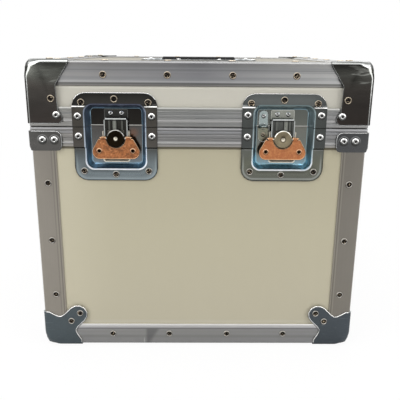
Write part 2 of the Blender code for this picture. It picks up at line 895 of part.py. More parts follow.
def latch_spindle(name, place, carrier):
    """Shaft, cam and knob in one piece, drilled across for the wing's pin."""
    profile = [
        (0, fit_gap),
        (shaft_radius, fit_gap),
        (shaft_radius, 2 * fit_gap + frame_wall),
        (shaft_collar_radius, 2 * fit_gap + frame_wall),
        (shaft_collar_radius, 2 * fit_gap + frame_wall + shaft_collar),
        (shaft_radius, 2 * fit_gap + frame_wall + shaft_collar),
        (shaft_radius, knob_bottom),
        (knob_radius, knob_bottom),
        (knob_radius, knob_shoulder),
        (knob_radius - knob_bevel, knob_top),
        (knob_rivet_radius, knob_top),
        (knob_rivet_radius / 2, knob_top + knob_rivet_height),
        (0, knob_top + knob_rivet_height),
    ]
    spindle = piece(name, lathe(profile, "Y", round_steps), "bright_steel", place, carrier)
    combine(spindle, prism(cam_outline(), "Y", -cam_top, -cam_bottom), "UNION")
    bore = rod(
        wing_pin_radius + wing_pin_clearance, "X", -knob_radius - cut_overrun, knob_radius + cut_overrun,
        small_round_steps, centre=(-wing_axis_out, 0)
    )
    return combine(spindle, bore, "DIFFERENCE")


def draw_link(name, place, carrier):
    """The plate that the cam draws down, with a window round the cam and a hook at its upper end."""
    top = spindle_drop + hook_height
    low_edge = cam_low_radius + fit_gap + window_nib
    high_edge = cam_low_radius + link_stroke_down + fit_gap + window_nib
    foot = -low_edge - link_foot
    cut = link_corner_cut
    outline = mirrored(
        [(link_half_width - cut, foot), (link_half_width, foot + cut), (link_half_width, top - cut),
         (link_half_width - cut, top)]
    )
    over = link_under + link_plate
    link = piece(name, prism(outline, "Y", -over, -link_under), "zinc", place, carrier)
    # The window's two nibs ride on the cam at the shaft's centre line.
    window = mirrored(
        [(window_nib / 2, window_nib - low_edge), (window_nib, -low_edge), (window_half_width, -low_edge),
         (window_half_width, high_edge), (window_nib, high_edge), (window_nib / 2, high_edge - window_nib)]
    )
    combine(link, prism(window, "Y", -over - cut_overrun, -link_under + cut_overrun), "DIFFERENCE")
    buried = link_plate / 2
    nose = link_under + link_plate - hook_round
    hook = [(-link_under - buried, top - link_plate), (hook_reach - link_under, top - link_plate),
            (hook_reach - link_under, top - hook_round), (hook_reach - link_under - hook_round, top),
            (-nose, top), (-over, top - hook_round), (-over, top - link_plate)]
    extra = prism(hook, "X", -hook_half_width, hook_half_width)
    rib_top = top - link_plate - fit_gap
    for side in (-1, 1):
        middle = side * link_rib_offset
        block(
            (middle - link_rib_half_width, -over - link_rib_height, rib_top - link_rib_length),
            (middle + link_rib_half_width, -over + buried, rib_top),
            extra,
        )
    return combine(link, extra, "UNION")


def keeper(name, place, carrier):
    """The plate riveted in the upper dish, whose lip the hook catches; z is counted from the seam."""
    section = [
        (-fit_gap, keeper_top), (-fit_gap, keeper_lip - keeper_wall), (-keeper_lip_reach, keeper_lip - keeper_wall),
        (-keeper_lip_reach, keeper_lip), (-fit_gap - keeper_wall, keeper_lip), (-fit_gap - keeper_wall, keeper_top),
    ]
    bm = prism(section, "X", -keeper_half_width, keeper_half_width)
    corners = [
        edge for edge in bm.edges
        if all(v.co.z > keeper_top - weld_distance for v in edge.verts)
        and abs(edge.calc_length() - keeper_wall) < weld_distance
    ]
    bmesh.ops.bevel(bm, geom=corners, offset=keeper_corner_cut, segments=1, affect="EDGES", profile=0.5)
    return piece(name, bm, "zinc", place, carrier)


def wing_outline():
    """The butterfly: shoulders beside the knob, two lobes below and a round cut-out for the knob."""
    inner = arc(0, 0, wing_cutout_radius, -90, 0, lobe_steps)
    top = wing_knuckle_radius
    shoulder_x, shoulder_z = wing_shoulder - wing_shoulder_round, top - wing_shoulder_round
    run_x, run_z = wing_lobe_x - shoulder_x, -wing_lobe_z - shoulder_z
    # The slanted side touches both the shoulder's arc and the lobe's.
    spread = math.acos((wing_shoulder_round - wing_lobe_radius) / math.hypot(run_x, run_z))
    slant = math.degrees(math.atan2(run_z, run_x) + spread)
    shoulder = arc(shoulder_x, shoulder_z, wing_shoulder_round, 90, slant, corner_steps)
    lobe = arc(wing_lobe_x, -wing_lobe_z, wing_lobe_radius, slant, -90, lobe_steps)
    right = inner + [(wing_cutout_radius, top)] + shoulder + lobe
    return right + [(-x, z) for x, z in reversed(right)][:-1]


def wing(name, place, carrier):
    """The butterfly wing, which swings on the pin through the knob; its origin is on the pin's axis."""
    half = wing_plate / 2
    body = piece(name, prism(wing_outline(), "Y", -half, half), "copper", place, carrier)
    knuckles = bmesh.new()
    for side in (-1, 1):
        low, high = sorted((side * (wing_cutout_radius + fit_gap), side * wing_knuckle_end))
        rod(wing_knuckle_radius, "X", low, high, small_round_steps, knuckles)
    combine(body, knuckles, "UNION")
    holes = rod(wing_pin_radius + wing_pin_clearance, "X", -wing_shoulder - cut_overrun,
                wing_shoulder + cut_overrun, small_round_steps)
    for side in (-1, 1):
        rod(wing_hole_radius, "Y", -half - cut_overrun, half + cut_overrun, small_round_steps, holes,
            (side * wing_hole_x, -wing_hole_z))
    return combine(body, holes, "DIFFERENCE")


def padlock_lug(name, sign, place, finish, carrier=None):
    """A plate on the dish's floor with a drilled tab at the seam; the two tabs take one shackle."""
    rise = lug_rise if sign > 0 else lug_fall
    half = lug_upper_half_width if sign > 0 else lug_lower_half_width
    plate = [(half, lug_seam_clearance)] + arc(0, rise - half, half, 0, 180, lobe_steps)
    plate.append((-half, lug_seam_clearance))
    outline = [(x, sign * z) for x, z in plate]
    lug = piece(name, prism(outline, "Y", -fit_gap - lug_wall, -fit_gap), finish, place, carrier)
    tip = half - lug_reach
    tab = [(half, -fit_gap - lug_wall / 2)]
    tab += [(x, y) for x, y in arc(0, tip, half, 0, -180, lobe_steps)]
    tab.append((-half, -fit_gap - lug_wall / 2))
    low, high = sorted((sign * lug_seam_clearance, sign * (lug_seam_clearance + lug_wall)))
    combine(lug, prism(tab, "Z", low, high), "UNION")
    # Both holes lie on one line, for a single shackle.
    middle = lug_upper_half_width - lug_reach
    ring = arc(0, middle, lug_hole_radius, 0, 360, small_round_steps)[:-1]
    hole = prism(ring, "Z", low - cut_overrun, high + cut_overrun)
    return combine(lug, hole, "DIFFERENCE")


def latch(side, word, lid):
    """One latch with its dish, frame, spindle, link, wing, pin and keeper."""
    x = side * latch_x
    floor = (x, dish_floor_y, spindle_z)
    seam = (x, dish_floor_y, base_height)
    pin_place = (x, dish_floor_y - wing_axis_out, spindle_z)
    dish_half(word + "_dish_lower", x, -1)
    dish_half(word + "_dish_upper", x, 1, lid)
    latch_frame(word + "_latch_frame", floor)
    turning = axis_empty(word + "_latch_axis", floor)
    latch_spindle(word + "_latch_spindle", floor, turning)
    sliding = axis_empty(word + "_link_slide", floor)
    draw_link(word + "_draw_link", floor, sliding)
    folding = axis_empty(word + "_wing_axis", pin_place, turning)
    wing(word + "_wing", pin_place, folding)
    pin_end = wing_knuckle_end - fit_gap
    pin = rod(wing_pin_radius, "X", -pin_end, pin_end, small_round_steps)
    piece(word + "_wing_pin", pin, "bright_steel", pin_place, folding)
    keeper(word + "_keeper", seam, lid)


# Lid-stay hinges: x is counted from the hinge's middle, y and z from its pin


def hinge_outline(sign):
    """A leaf's cheek or arm in side view, from the leaf out to a round boss on the pin."""
    near, far = half_seam + hinge_leaf, half_seam + hinge_leaf_height / 2
    foot = -hinge_axis_out - hinge_leaf / 2
    if sign < 0:
        # The base cheek stands outside the arm and runs straight down to its leaf.
        return [(foot, -far), *arc(0, 0, hinge_boss_radius, -60, 110, lobe_steps), (foot, -near)]
    tail = [
        (-hinge_tail_half, -hinge_tail_half), (-hinge_tail_half, hinge_tail_cut - hinge_tail),
        (hinge_tail_cut - hinge_tail_half, -hinge_tail), (hinge_tail_half, -hinge_tail),
    ]
    return [(foot, near), *tail, *arc(0, 0, hinge_boss_radius, 0, 60, lobe_steps), (foot, far)]


def hinge_leaf_plate(low, high):
    """A leaf with its free corners rounded."""
    outline = mirrored([(hinge_half_width, low), (hinge_half_width, high)])
    bm = prism(outline, "Y", -hinge_axis_out - hinge_leaf, -hinge_axis_out)
    free = high if abs(high) > abs(low) else low
    corners = [
        edge for edge in bm.edges
        if all(abs(v.co.z - free) < weld_distance for v in edge.verts)
        and abs(edge.calc_length() - hinge_leaf) < weld_distance
    ]
    bmesh.ops.bevel(bm, geom=corners, offset=hinge_leaf_round, segments=bend_steps, affect="EDGES", profile=0.5)
    return bm


def hinge(side, word, lid):
    place = (side * hinge_x, hinge_axis_y, base_height)
    bore = hinge_pin_radius + hinge_pin_clearance
    cheek = hinge_arm_face + hinge_side_gap
    end = cheek + hinge_arm_wall
    height = hinge_leaf_height

    base_leaf = piece(word + "_hinge_base_leaf", hinge_leaf_plate(-half_seam - height, -half_seam),
                      "bright_steel", place)
    cheeks = bmesh.new()
    for low in (-end, cheek):
        prism(hinge_outline(-1), "X", low, low + hinge_arm_wall, cheeks)
    combine(base_leaf, cheeks, "UNION")
    combine(base_leaf, rod(bore, "X", -end - cut_overrun, end + cut_overrun, small_round_steps), "DIFFERENCE")

    lid_leaf = piece(word + "_hinge_lid_leaf", hinge_leaf_plate(half_seam, half_seam + height),
                     "bright_steel", place, lid)
    arms = bmesh.new()
    for low in (-hinge_arm_face, hinge_arm_face - hinge_arm_wall):
        prism(hinge_outline(1), "X", low, low + hinge_arm_wall, arms)
    combine(lid_leaf, arms, "UNION")
    # A web joins the arms' tails behind the pin and meets the base leaf when the lid is fully open.
    inside = hinge_arm_face - hinge_arm_wall / 2
    web = block((-inside, hinge_tail_half - hinge_arm_wall, -hinge_tail),
                (inside, hinge_tail_half, -hinge_pin_radius - hinge_arm_wall))
    combine(lid_leaf, web, "UNION")
    reach = hinge_arm_face + cut_overrun
    combine(lid_leaf, rod(bore, "X", -reach, reach, small_round_steps), "DIFFERENCE")

    neck = end + fit_gap
    profile = [(0, -neck - hinge_head), (hinge_head_radius, -neck - hinge_head), (hinge_head_radius, -neck),
               (hinge_pin_radius, -neck), (hinge_pin_radius, neck), (hinge_head_radius, neck),
               (hinge_head_radius, neck + hinge_head), (0, neck + hinge_head)]
    piece(word + "_hinge_pin", lathe(profile, "X", small_round_steps), "zinc", place)


# Recessed handle


def rounded_rectangle(half_x, half_y, radius, steps):
    corner = arc(half_x - radius, half_y - radius, radius, 0, 90, steps)
    right_back = corner
    left_back = [(-x, y) for x, y in reversed(corner)]
    left_front = [(-x, -y) for x, y in corner]
    right_front = [(x, -y) for x, y in reversed(corner)]
    return right_back + left_back + left_front + right_front


def handle_dish(lid):
    """A flanged tub in the lid's top, its side walls pierced for the bail's ends."""
    rows = []
    corner = handle_corner - handle_flange / 2
    levels = (
        (0, 0), (handle_flange, 0), (handle_flange + handle_fillet, -handle_fillet),
        (handle_flange + handle_fillet + handle_draft, handle_fillet - handle_depth),
        (handle_flange + 2 * handle_fillet + handle_draft, -handle_depth),
    )
    bm = bmesh.new()
    for inset, level in levels:
        radius = handle_corner - (handle_corner - corner) * inset / levels[-1][0]
        loop = rounded_rectangle(handle_half_length - inset, handle_half_depth - inset, radius, corner_steps)
        rows.append([bm.verts.new((x, centre_y + y, handle_top_z + level)) for x, y in loop])
    for row, following in zip(rows, rows[1:]):
        for i in range(len(row)):
            bm.faces.new((row[i - 1], row[i], following[i], following[i - 1]))
    bm.faces.new(rows[-1])
    bmesh.ops.recalc_face_normals(bm, faces=bm.faces)
    if sum(f.normal.z * f.calc_area() for f in bm.faces) < 0:
        bmesh.ops.reverse_faces(bm, faces=bm.faces)
    mesh = bpy.data.meshes.new("handle_dish")
    bm.to_mesh(mesh)
    bm.free()
    mesh.shade_smooth()
    mesh.set_sharp_from_angle(angle=smooth_angle)
    mesh.materials.append(shade("zinc"))
    dish = thicken(put(bpy.data.objects.new("handle_dish", mesh), (0, 0, 0), lid), handle_wall)
    pivots = rod(bail_rod_radius + bail_hole_clearance, "X", -bail_end_x - cut_overrun,
                 bail_end_x + cut_overrun, small_round_steps, centre=(bail_axis_y, bail_axis_z))
    return combine(dish, pivots, "DIFFERENCE")


def bail_path():
    """The rod's centre line: out through the left wall, along the arm, through the grip and back."""
    span_y = grip_y - bail_axis_y
    span_z = grip_z - bail_axis_z
    length = math.hypot(span_y, span_z)
    # In the plane of the bail, the first value is along X and the second runs from the pivot to the grip.
    right = [(bail_end_x, 0)]
    right += arc(bail_arm_x + bail_bend, bail_bend, bail_bend, 270, 180, corner_steps)
    right += arc(bail_arm_x - bail_bend, length - bail_bend, bail_bend, 0, 90, corner_steps)
    flat = right + [(-x, s) for x, s in reversed(right)]
    return [(x, s * span_y / length, s * span_z / length) for x, s in flat]


def handle(lid):
    pivot = (0, bail_axis_y, bail_axis_z)
    swinging = axis_empty("handle_axis", pivot, lid)
    curve = bpy.data.curves.new("handle_bail", "CURVE")
    curve.dimensions = "3D"
    curve.bevel_depth = bail_rod_radius
    curve.bevel_resolution = 2
    curve.use_fill_caps = True
    points = bail_path()
    line = curve.splines.new("POLY")
    line.points.add(len(points) - 1)
    for point, place in zip(line.points, points):
        point.co = (*place, 1)
    curve.materials.append(shade("zinc"))
    put(bpy.data.objects.new("handle_bail", curve), pivot, swinging)
    bore = bail_rod_radius + grip_bore_clearance
    end, edge = grip_half_length, grip_radius - grip_round
    profile = [(bore, -end), (edge, -end), (grip_radius, grip_round - end), (grip_radius, end - grip_round),
               (edge, end), (bore, end)]
    grip = lathe(profile, "X", round_steps, closed=True)
    piece("handle_grip", grip, "rubber", (0, grip_y, grip_z), swinging)


def main():
    for obj in list(bpy.data.objects):
        bpy.data.objects.remove(obj)

    base_seam = base_height - half_seam - rail_web - fit_gap
    lid_seam = base_height + groove_top + fit_gap
    panel_set("base", base_seam, panel_rise, base_height - rim_bottom - dish_hole_clearance)
    edging_ring("base_bottom_edging", -1, 0, None)
    for signs in corner_signs:
        upright_edging(signs)
    closure_rail("base_closure_rail", base_rail_profile())
    bottom_corners()
    closure_braces()

    lid = axis_empty("lid_axis", (0, hinge_axis_y, base_height))
    top_panel = panel_set("lid", lid_seam, case_height - panel_rise,
                          base_height + rim_top + dish_hole_clearance, lid)
    edging_ring("lid_top_edging", 1, case_height, lid)
    closure_rail("lid_closure_rail", lid_rail_profile(), lid)
    lid_caps(lid)

    for side, word in ((-1, "left"), (1, "right")):
        latch(side, word, lid)
        hinge(side, word, lid)
    lug_place = (latch_x - lug_offset, dish_floor_y, base_height)
    padlock_lug("padlock_lug_upper", 1, lug_place, "zinc", lid)
    padlock_lug("padlock_lug_lower", -1, lug_place, "bright_steel")

    handle_dish(lid)
    handle(lid)
    opening = rounded_rectangle(
        handle_half_length - handle_flange + handle_hole_clearance,
        handle_half_depth - handle_flange + handle_hole_clearance,
        handle_corner / 2,
        bend_steps,
    )
    opening = [(x, centre_y + y) for x, y in opening]
    high = case_height - panel_rise + cut_overrun
    combine(top_panel, prism(opening, "Z", high - panel_thickness - 2 * cut_overrun, high), "DIFFERENCE")


main()
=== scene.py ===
"""The looks of a flight case: finishes with painted light and shade, rivets, edge beads painted with
highlights, camera, light and floor round its model.
"""

import math

import bmesh
import bpy
from mathutils import Matrix, Vector


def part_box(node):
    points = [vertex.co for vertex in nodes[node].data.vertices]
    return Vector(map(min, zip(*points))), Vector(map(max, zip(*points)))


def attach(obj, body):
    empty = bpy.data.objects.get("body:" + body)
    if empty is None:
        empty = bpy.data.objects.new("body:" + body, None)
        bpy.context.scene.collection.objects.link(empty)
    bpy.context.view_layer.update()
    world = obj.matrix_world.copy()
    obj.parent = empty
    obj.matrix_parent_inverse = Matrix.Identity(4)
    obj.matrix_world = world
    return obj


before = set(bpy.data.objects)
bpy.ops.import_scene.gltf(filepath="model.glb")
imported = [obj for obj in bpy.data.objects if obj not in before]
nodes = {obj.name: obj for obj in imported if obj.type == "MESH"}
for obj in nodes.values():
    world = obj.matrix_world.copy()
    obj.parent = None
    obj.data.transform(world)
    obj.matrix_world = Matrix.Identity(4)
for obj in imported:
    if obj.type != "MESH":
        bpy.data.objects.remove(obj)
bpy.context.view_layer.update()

# Where things are, from the model itself
cap_low, cap_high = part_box("lid_cap_front_left")
left, front, top = cap_low[0], cap_low[1], cap_high[2]
right = -left
back = front + 2 * right
middle = (front + back) / 2
tongue_height = 0.0045
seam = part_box("base_closure_rail_middle")[1][2] - tongue_height
spindle_low, spindle_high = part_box("right_latch_spindle")
latch_x = (spindle_low[0] + spindle_high[0]) / 2
spindle_z = (spindle_low[2] + spindle_high[2]) / 2
lug_low, lug_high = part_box("padlock_lug_upper")
lug_x = (lug_low[0] + lug_high[0]) / 2
leaf_low, leaf_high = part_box("right_hinge_lid_leaf")
hinge_x = (leaf_low[0] + leaf_high[0]) / 2
pin_low, pin_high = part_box("right_wing_pin")
wing_axis_z = (pin_low[2] + pin_high[2]) / 2

# How far the outer faces lie behind the caps and rails
edging_face = 0.0028
edging_top = 0.0015
foot_face = 0.0013
flange_face = 0.0034

# The latch: its dish's floor, the plates on it, the knob's face, and a wing's hole from the wing's axis
dish_floor = front + 0.0158
plate_wall = 0.0012
keeper_face = dish_floor - plate_wall
knob_face = dish_floor - 0.0094
wing_hole = (0.0209, 0.0158)

# Outlines of the dish and its rim: half width, height over the seam, depth under it, corner radius
dish_top, dish_foot = 0.0415, -0.068
rim_top, rim_foot = 0.0285, -0.0548
dish_outline = (0.052, dish_top, -dish_foot, 0.016)
rim_outline = (0.0388, rim_top, -rim_foot, 0.0115)

# The closure braces' rivets, from the case's middle and from the seam
brace_rivets, brace_height = (0.1795, 0.194), -0.0162

# What counts as one point, as a short edge, as an edge that stays sharp and as one that gets a bead
# painted with a highlight
same_point = 0.000002
short_edge = 0.00002
smooth_angle = math.radians(35)
bead_angle = math.radians(40)


def srgb(red, green, blue):
    """A colour as it is seen, 0 to 255, as linear values."""
    return tuple(((c / 255 + 0.055) / 1.055) ** 2.4 for c in (red, green, blue))


def dimmed(tone, share):
    """A seen colour made darker or lighter by a share."""
    return tuple(min(255, c * share) for c in tone)


# Finishes


class Wire:
    """A value between shader nodes; sums of it add Math nodes."""

    def __init__(self, finish, socket):
        self.finish, self.socket = finish, socket

    def math(self, operation, *values):
        return self.finish.node("Math", {"operation": operation}, *values)

    def __add__(self, other):
        return self.math("ADD", self, other)

    __radd__ = __add__

    def __sub__(self, other):
        return self.math("SUBTRACT", self, other)

    def __rsub__(self, other):
        return self.math("SUBTRACT", other, self)

    def __mul__(self, other):
        return self.math("MULTIPLY", self, other)

    __rmul__ = __mul__

    def __truediv__(self, other):
        return self.math("DIVIDE", self, other)

    def __rtruediv__(self, other):
        return self.math("DIVIDE", other, self)

    def __pow__(self, power):
        return self.math("POWER", self, power)

    def __abs__(self):
        return self.math("ABSOLUTE", self)

    def between(self, low, high):
        """0 where this is at low and 1 where it is at high, with soft ends."""
        settings = {"interpolation_type": "SMOOTHSTEP"}
        return self.finish.node("MapRange", settings, self, low, high, 0.0, 1.0)

    def at_most(self, other):
        return self.math("MINIMUM", self, other)

    def at_least(self, other):
        return self.math("MAXIMUM", self, other)

    def line(self, at, half_width):
        """1 where this is at a value, falling to 0 on both sides of it."""
        return 1.0 - abs(self - at).between(half_width * 0.4, half_width * 1.6)

    def band(self, low, high, soft=0.0006):
        """1 where this lies between two values."""
        return self.between(low - soft, low + soft) * (1.0 - self.between(high - soft, high + soft))


class Finish:
    """A material or the world, and the nodes that make it."""

    def __init__(self, name, world=False):
        library = bpy.data.worlds if world else bpy.data.materials
        self.made = library.new(name)
        self.made.use_nodes = True
        self.tree = self.made.node_tree
        self.tree.nodes.clear()
        self.place = None

    def node(self, kind, settings=None, *values, out=0, **named):
        """A node of a kind, its settings first and then the values or wires of its sockets."""
        made = self.tree.nodes.new("ShaderNode" + kind)
        for key, value in (settings or {}).items():
            if key == "stops":
                ramp = made.color_ramp.elements
                for index, (position, colour) in enumerate(value):
                    stop = ramp[index] if index < 2 else ramp.new(position)
                    stop.position, stop.color = position, (*colour, 1)
            else:
                setattr(made, key, value)
        for key, value in [*enumerate(values), *named.items()]:
            key = key.replace("_", " ") if isinstance(key, str) else key
            socket = made.inputs[key]
            if isinstance(value, Wire):
                self.tree.links.new(value.socket, socket)
            else:
                socket.default_value = (*value, 1) if socket.type == "RGBA" and len(value) == 3 else value
        return Wire(self, made.outputs[out]) if made.outputs else None

    def mix(self, share, one, other):
        """A colour between two, by a share from 0 to 1."""
        made = self.tree.nodes.new("ShaderNodeMix")
        made.data_type = "RGBA"
        for index, value in ((0, share), (6, one), (7, other)):
            if isinstance(value, Wire):
                self.tree.links.new(value.socket, made.inputs[index])
            else:
                made.inputs[index].default_value = (*value, 1) if index else value
        return Wire(self, made.outputs[2])

    def painted(self, colour, *coats):
        """A colour under coats, each a mask, a tone and a strength."""
        for mask, tone, strength in coats:
            colour = self.mix(mask * strength, colour, srgb(*tone))
        return colour

    def lit(self, colour, share):
        """A colour made lighter or darker by a share."""
        return self.node("VectorMath", {"operation": "SCALE"}, colour, Scale=share)

    def graded(self, where, *stops):
        """A colour that runs through tones, each at its own place."""
        low, high = stops[0][0], stops[-1][0]
        ramp = [((place - low) / (high - low), srgb(*tone)) for place, tone in stops]
        return self.node("ValToRGB", {"stops": ramp}, (where - low) / (high - low))

    def position(self):
        """Where a point lies in the closed case, also when its piece has moved."""
        if self.place is None:
            self.place = self.node("TexCoord", out="Object")
        return self.place

    def split(self, vector):
        """The three numbers of a vector."""
        parts = self.node("SeparateXYZ", None, vector)
        return [Wire(self, socket) for socket in parts.socket.node.outputs]

    def axes(self):
        """A point's place along x, y and z, in metres."""
        return self.split(self.position())

    def normal(self, kind="Normal"):
        """The way the surface faces, along each axis of the closed case, also when its piece has moved."""
        settings = {"vector_type": "NORMAL", "convert_from": "WORLD", "convert_to": "OBJECT"}
        return self.split(self.node("VectorTransform", settings, self.node("NewGeometry", out=kind)))

    def rounded(self, across, up, half, high, low, radius):
        """How far a point lies outside a rounded rectangle, and less than 0 inside it."""
        past_x = abs(across) - (half - radius)
        past_z = abs(up - (high - low) / 2) - ((high + low) / 2 - radius)
        away = (past_x.at_least(0.0) ** 2.0 + past_z.at_least(0.0) ** 2.0) ** 0.5
        return away + past_x.at_least(past_z).at_most(0.0) - radius

    def noise(self, size, stretch=(1, 1, 1), detail=3.0, roughness=0.55):
        """Noise from 0 to 1 whose blots are about a size across, in metres, times the stretch."""
        scale = tuple(1 / (size * s) for s in stretch)
        where = self.node("Mapping", None, self.position(), Scale=scale)
        return self.node("TexNoise", {"normalize": True}, Vector=where, Scale=1.0, Detail=detail,
                         Roughness=roughness)

    def bump(self, height, strength, distance):
        """Small hills in the surface, a distance high in metres."""
        return self.node("Bump", None, Strength=strength, Distance=distance, Height=height)

    def surface(self, **sockets):
        """Ends the material in one shader with these sockets."""
        shader = self.node("BsdfPrincipled", None, **sockets)
        self.node("OutputMaterial", None, shader)
        return self.made


def laminate(name):
    """Pale laminate: a slow drift of tone, rub marks and specks, painted shade on its top faces, a painted
    shadow under the base's rail and a painted highlight under the lid's top edging.
    """
    f = Finish(name)
    x, _, z = f.axes()
    from_above = f.normal("True Normal")[2].between(0.5, 0.9)
    blotch = f.noise(0.09, detail=2.0)
    rub = f.noise(0.012, (1.0, 1.0, 9.0))
    speck = f.noise(0.0016, detail=1.0)
    scuff = f.noise(0.03, (2.5, 2.5, 0.4), detail=4.0).between(0.66, 0.78)
    # Painted shade and light: the body's tone runs darker towards the seam under the rail and lighter
    # towards the left
    body = f.graded(z, (0.0, (187, 181, 161)), (0.07, (186, 180, 159)), (0.16, (184, 178, 155)),
                    (0.245, (178, 172, 149)), (seam - 0.02, (175, 169, 146)))
    body = f.painted(body, (x.between(-0.10, -0.18), (194, 188, 166), 0.75))
    colour = f.mix(z.between(seam - 0.005, seam + 0.005), body, srgb(192, 189, 178))
    colour = f.lit(colour, 0.915 + 0.016 * blotch + 0.018 * rub + 0.016 * speck)
    # Painted shade on top faces, scuffs, a painted shadow under the base's rail, a painted highlight under
    # the lid's edging, and a lighter line just above the bottom edging
    colour = f.painted(
        colour,
        (from_above * (0.75 + 0.5 * rub), (150, 145, 134), 0.5),
        (scuff, (150, 146, 130), 0.08),
        (z.band(seam - 0.0278, seam - 0.0236), (84, 79, 66), 0.85),
        (z.line(seam + 0.0476, 0.0011), (210, 207, 196), 0.7),
        (z.line(0.0350, 0.0018), (186, 182, 168), 0.5),
    )
    rough = 0.50 + 0.10 * blotch + 0.06 * rub + 0.3 * from_above
    peel = f.bump(f.noise(0.0011, detail=1.0), 0.06, 0.0002)
    return f.surface(Base_Color=colour, Roughness=rough, Normal=peel, Specular_IOR_Level=0.12)


def drawn(name, tones, lines, along="x", edge=None, lip=(246, 246, 243), knock=None):
    """Drawn aluminium with fine streaks and painted highlight and shade lines along its length; its tones
    run from left to right.

    Its top faces get painted shade, its top or side edge a painted highlight on its lip, and knock is
    where its foot has a dent, painted in shade and highlight.
    """
    f = Finish(name)
    x, y, z = f.axes()
    facing_x, facing_y, facing_z = [abs(part) for part in f.normal("True Normal")]
    long, across = 0.22, 0.0012
    if along == "z":
        streak = f.noise(1.0, (across, across, long), detail=3.0)
        fine = f.noise(1.0, (across / 3, across / 3, long / 2), detail=2.0)
        reach = (right - abs(x)) * facing_y + (right - abs(y - middle)) * facing_x
    else:
        level = f.noise(1.0, (long, long, across), detail=3.0)
        flat = f.noise(1.0, (long, across, long), detail=3.0)
        streak = level + (flat - level) * facing_z
        fine = f.noise(1.0, (long / 2, long / 2, across / 3), detail=2.0)
        reach = z
    patch = f.noise(0.04, detail=4.0)
    spot = f.noise(0.0022, detail=2.0)
    colour = f.graded(x, (-0.17, tones[0]), (0.0, tones[1]), (0.17, tones[2]))
    colour = f.lit(colour, 0.87 + 0.10 * streak + 0.05 * fine + 0.07 * patch + 0.04 * spot)
    # Painted highlight and shade lines along the section
    colour = f.painted(colour, *[(reach.line(at, half), tone, share) for at, half, tone, share in lines])
    # The dent on the foot is painted: shade in its hollow and a highlight on its crease
    if knock:
        ahead = facing_y * (1.0 - y.between(-0.1, 0.0)) * (1.0 - z.between(0.0235, 0.0255))
        slope = (x - 0.6 * z).between(knock, knock + 0.0075)
        hollow = x.between(knock - 0.001, knock + 0.004) * (1.0 - slope)
        crease = x.line(knock - 0.0016, 0.0006) * (1.0 - z.between(0.007, 0.013))
        colour = f.painted(colour, (hollow * ahead, (88, 88, 90), 0.6),
                           (crease * ahead, (190, 190, 190), 0.45))
    rough = 0.25 + 0.10 * fine + 0.08 * patch
    metal = 1.0
    # Painted shade on the top faces
    if edge == "top":
        colour = f.lit(colour, 1.0 - 0.35 * facing_z)
        rough = rough + 0.25 * facing_z
    # A painted highlight on the lip of the top or side edge
    if edge:
        half, from_x, from_y = right - edging_face, abs(x), abs(y - middle)
        outer = (half - from_x) * facing_y + (half - from_y) * facing_x
        outer = outer + (half - from_x.at_least(from_y)) * facing_z
        if edge == "top":
            upright = (1.0 - (top - edging_top - z).between(0.0006, 0.0020)) * (1.0 - facing_z)
            lip_highlight = upright.at_least((1.0 - outer.between(0.0002, 0.0013)) * facing_z)
            metal = 1.0 - 0.6 * lip_highlight
        else:
            lip_highlight = 1.0 - outer.between(0.0005, 0.0018)
        colour = f.painted(colour, (lip_highlight, lip, 0.9))
    normal = f.bump(streak + fine * 0.5, 0.10, 0.0001)
    return f.surface(Base_Color=colour, Roughness=rough, Metallic=metal, Normal=normal)


def foot_plating(name):
    """Dull blue-grey plating of the pressed bottom corners: clouded, speckled and rubbed, with a painted
    highlight on rounds facing up, strongest towards the outside, and a painted shade line along its foot.
    """
    f = Finish(name)
    x, _, z = f.axes()
    facing_z = f.normal()[2]
    cloud = f.noise(0.022, detail=4.0)
    grain = f.noise(0.0014, detail=2.0)
    scratch = f.noise(0.006, (3.0, 3.0, 0.25), detail=2.0).between(0.64, 0.74)
    colour = f.mix(x.between(-0.05, 0.05), srgb(80, 88, 92), srgb(74, 80, 85))
    colour = f.lit(colour, 0.70 + 0.36 * cloud + 0.26 * grain)
    outward = abs(x).between(0.162, 0.182)
    # Scratches, a painted highlight on rounds facing up and a painted shade line along the foot
    colour = f.painted(
        colour,
        (scratch, (128, 136, 142), 0.25),
        (facing_z.between(0.3, 0.8) * (0.4 + 0.6 * outward), (214, 218, 220), 0.8),
        (z.line(0.0010, 0.0016), (44, 48, 52), 0.7),
    )
    return f.surface(Base_Color=colour, Roughness=0.34 + 0.14 * cloud, Metallic=1.0,
                     Normal=f.bump(cloud + grain * 0.2, 0.22, 0.0012))


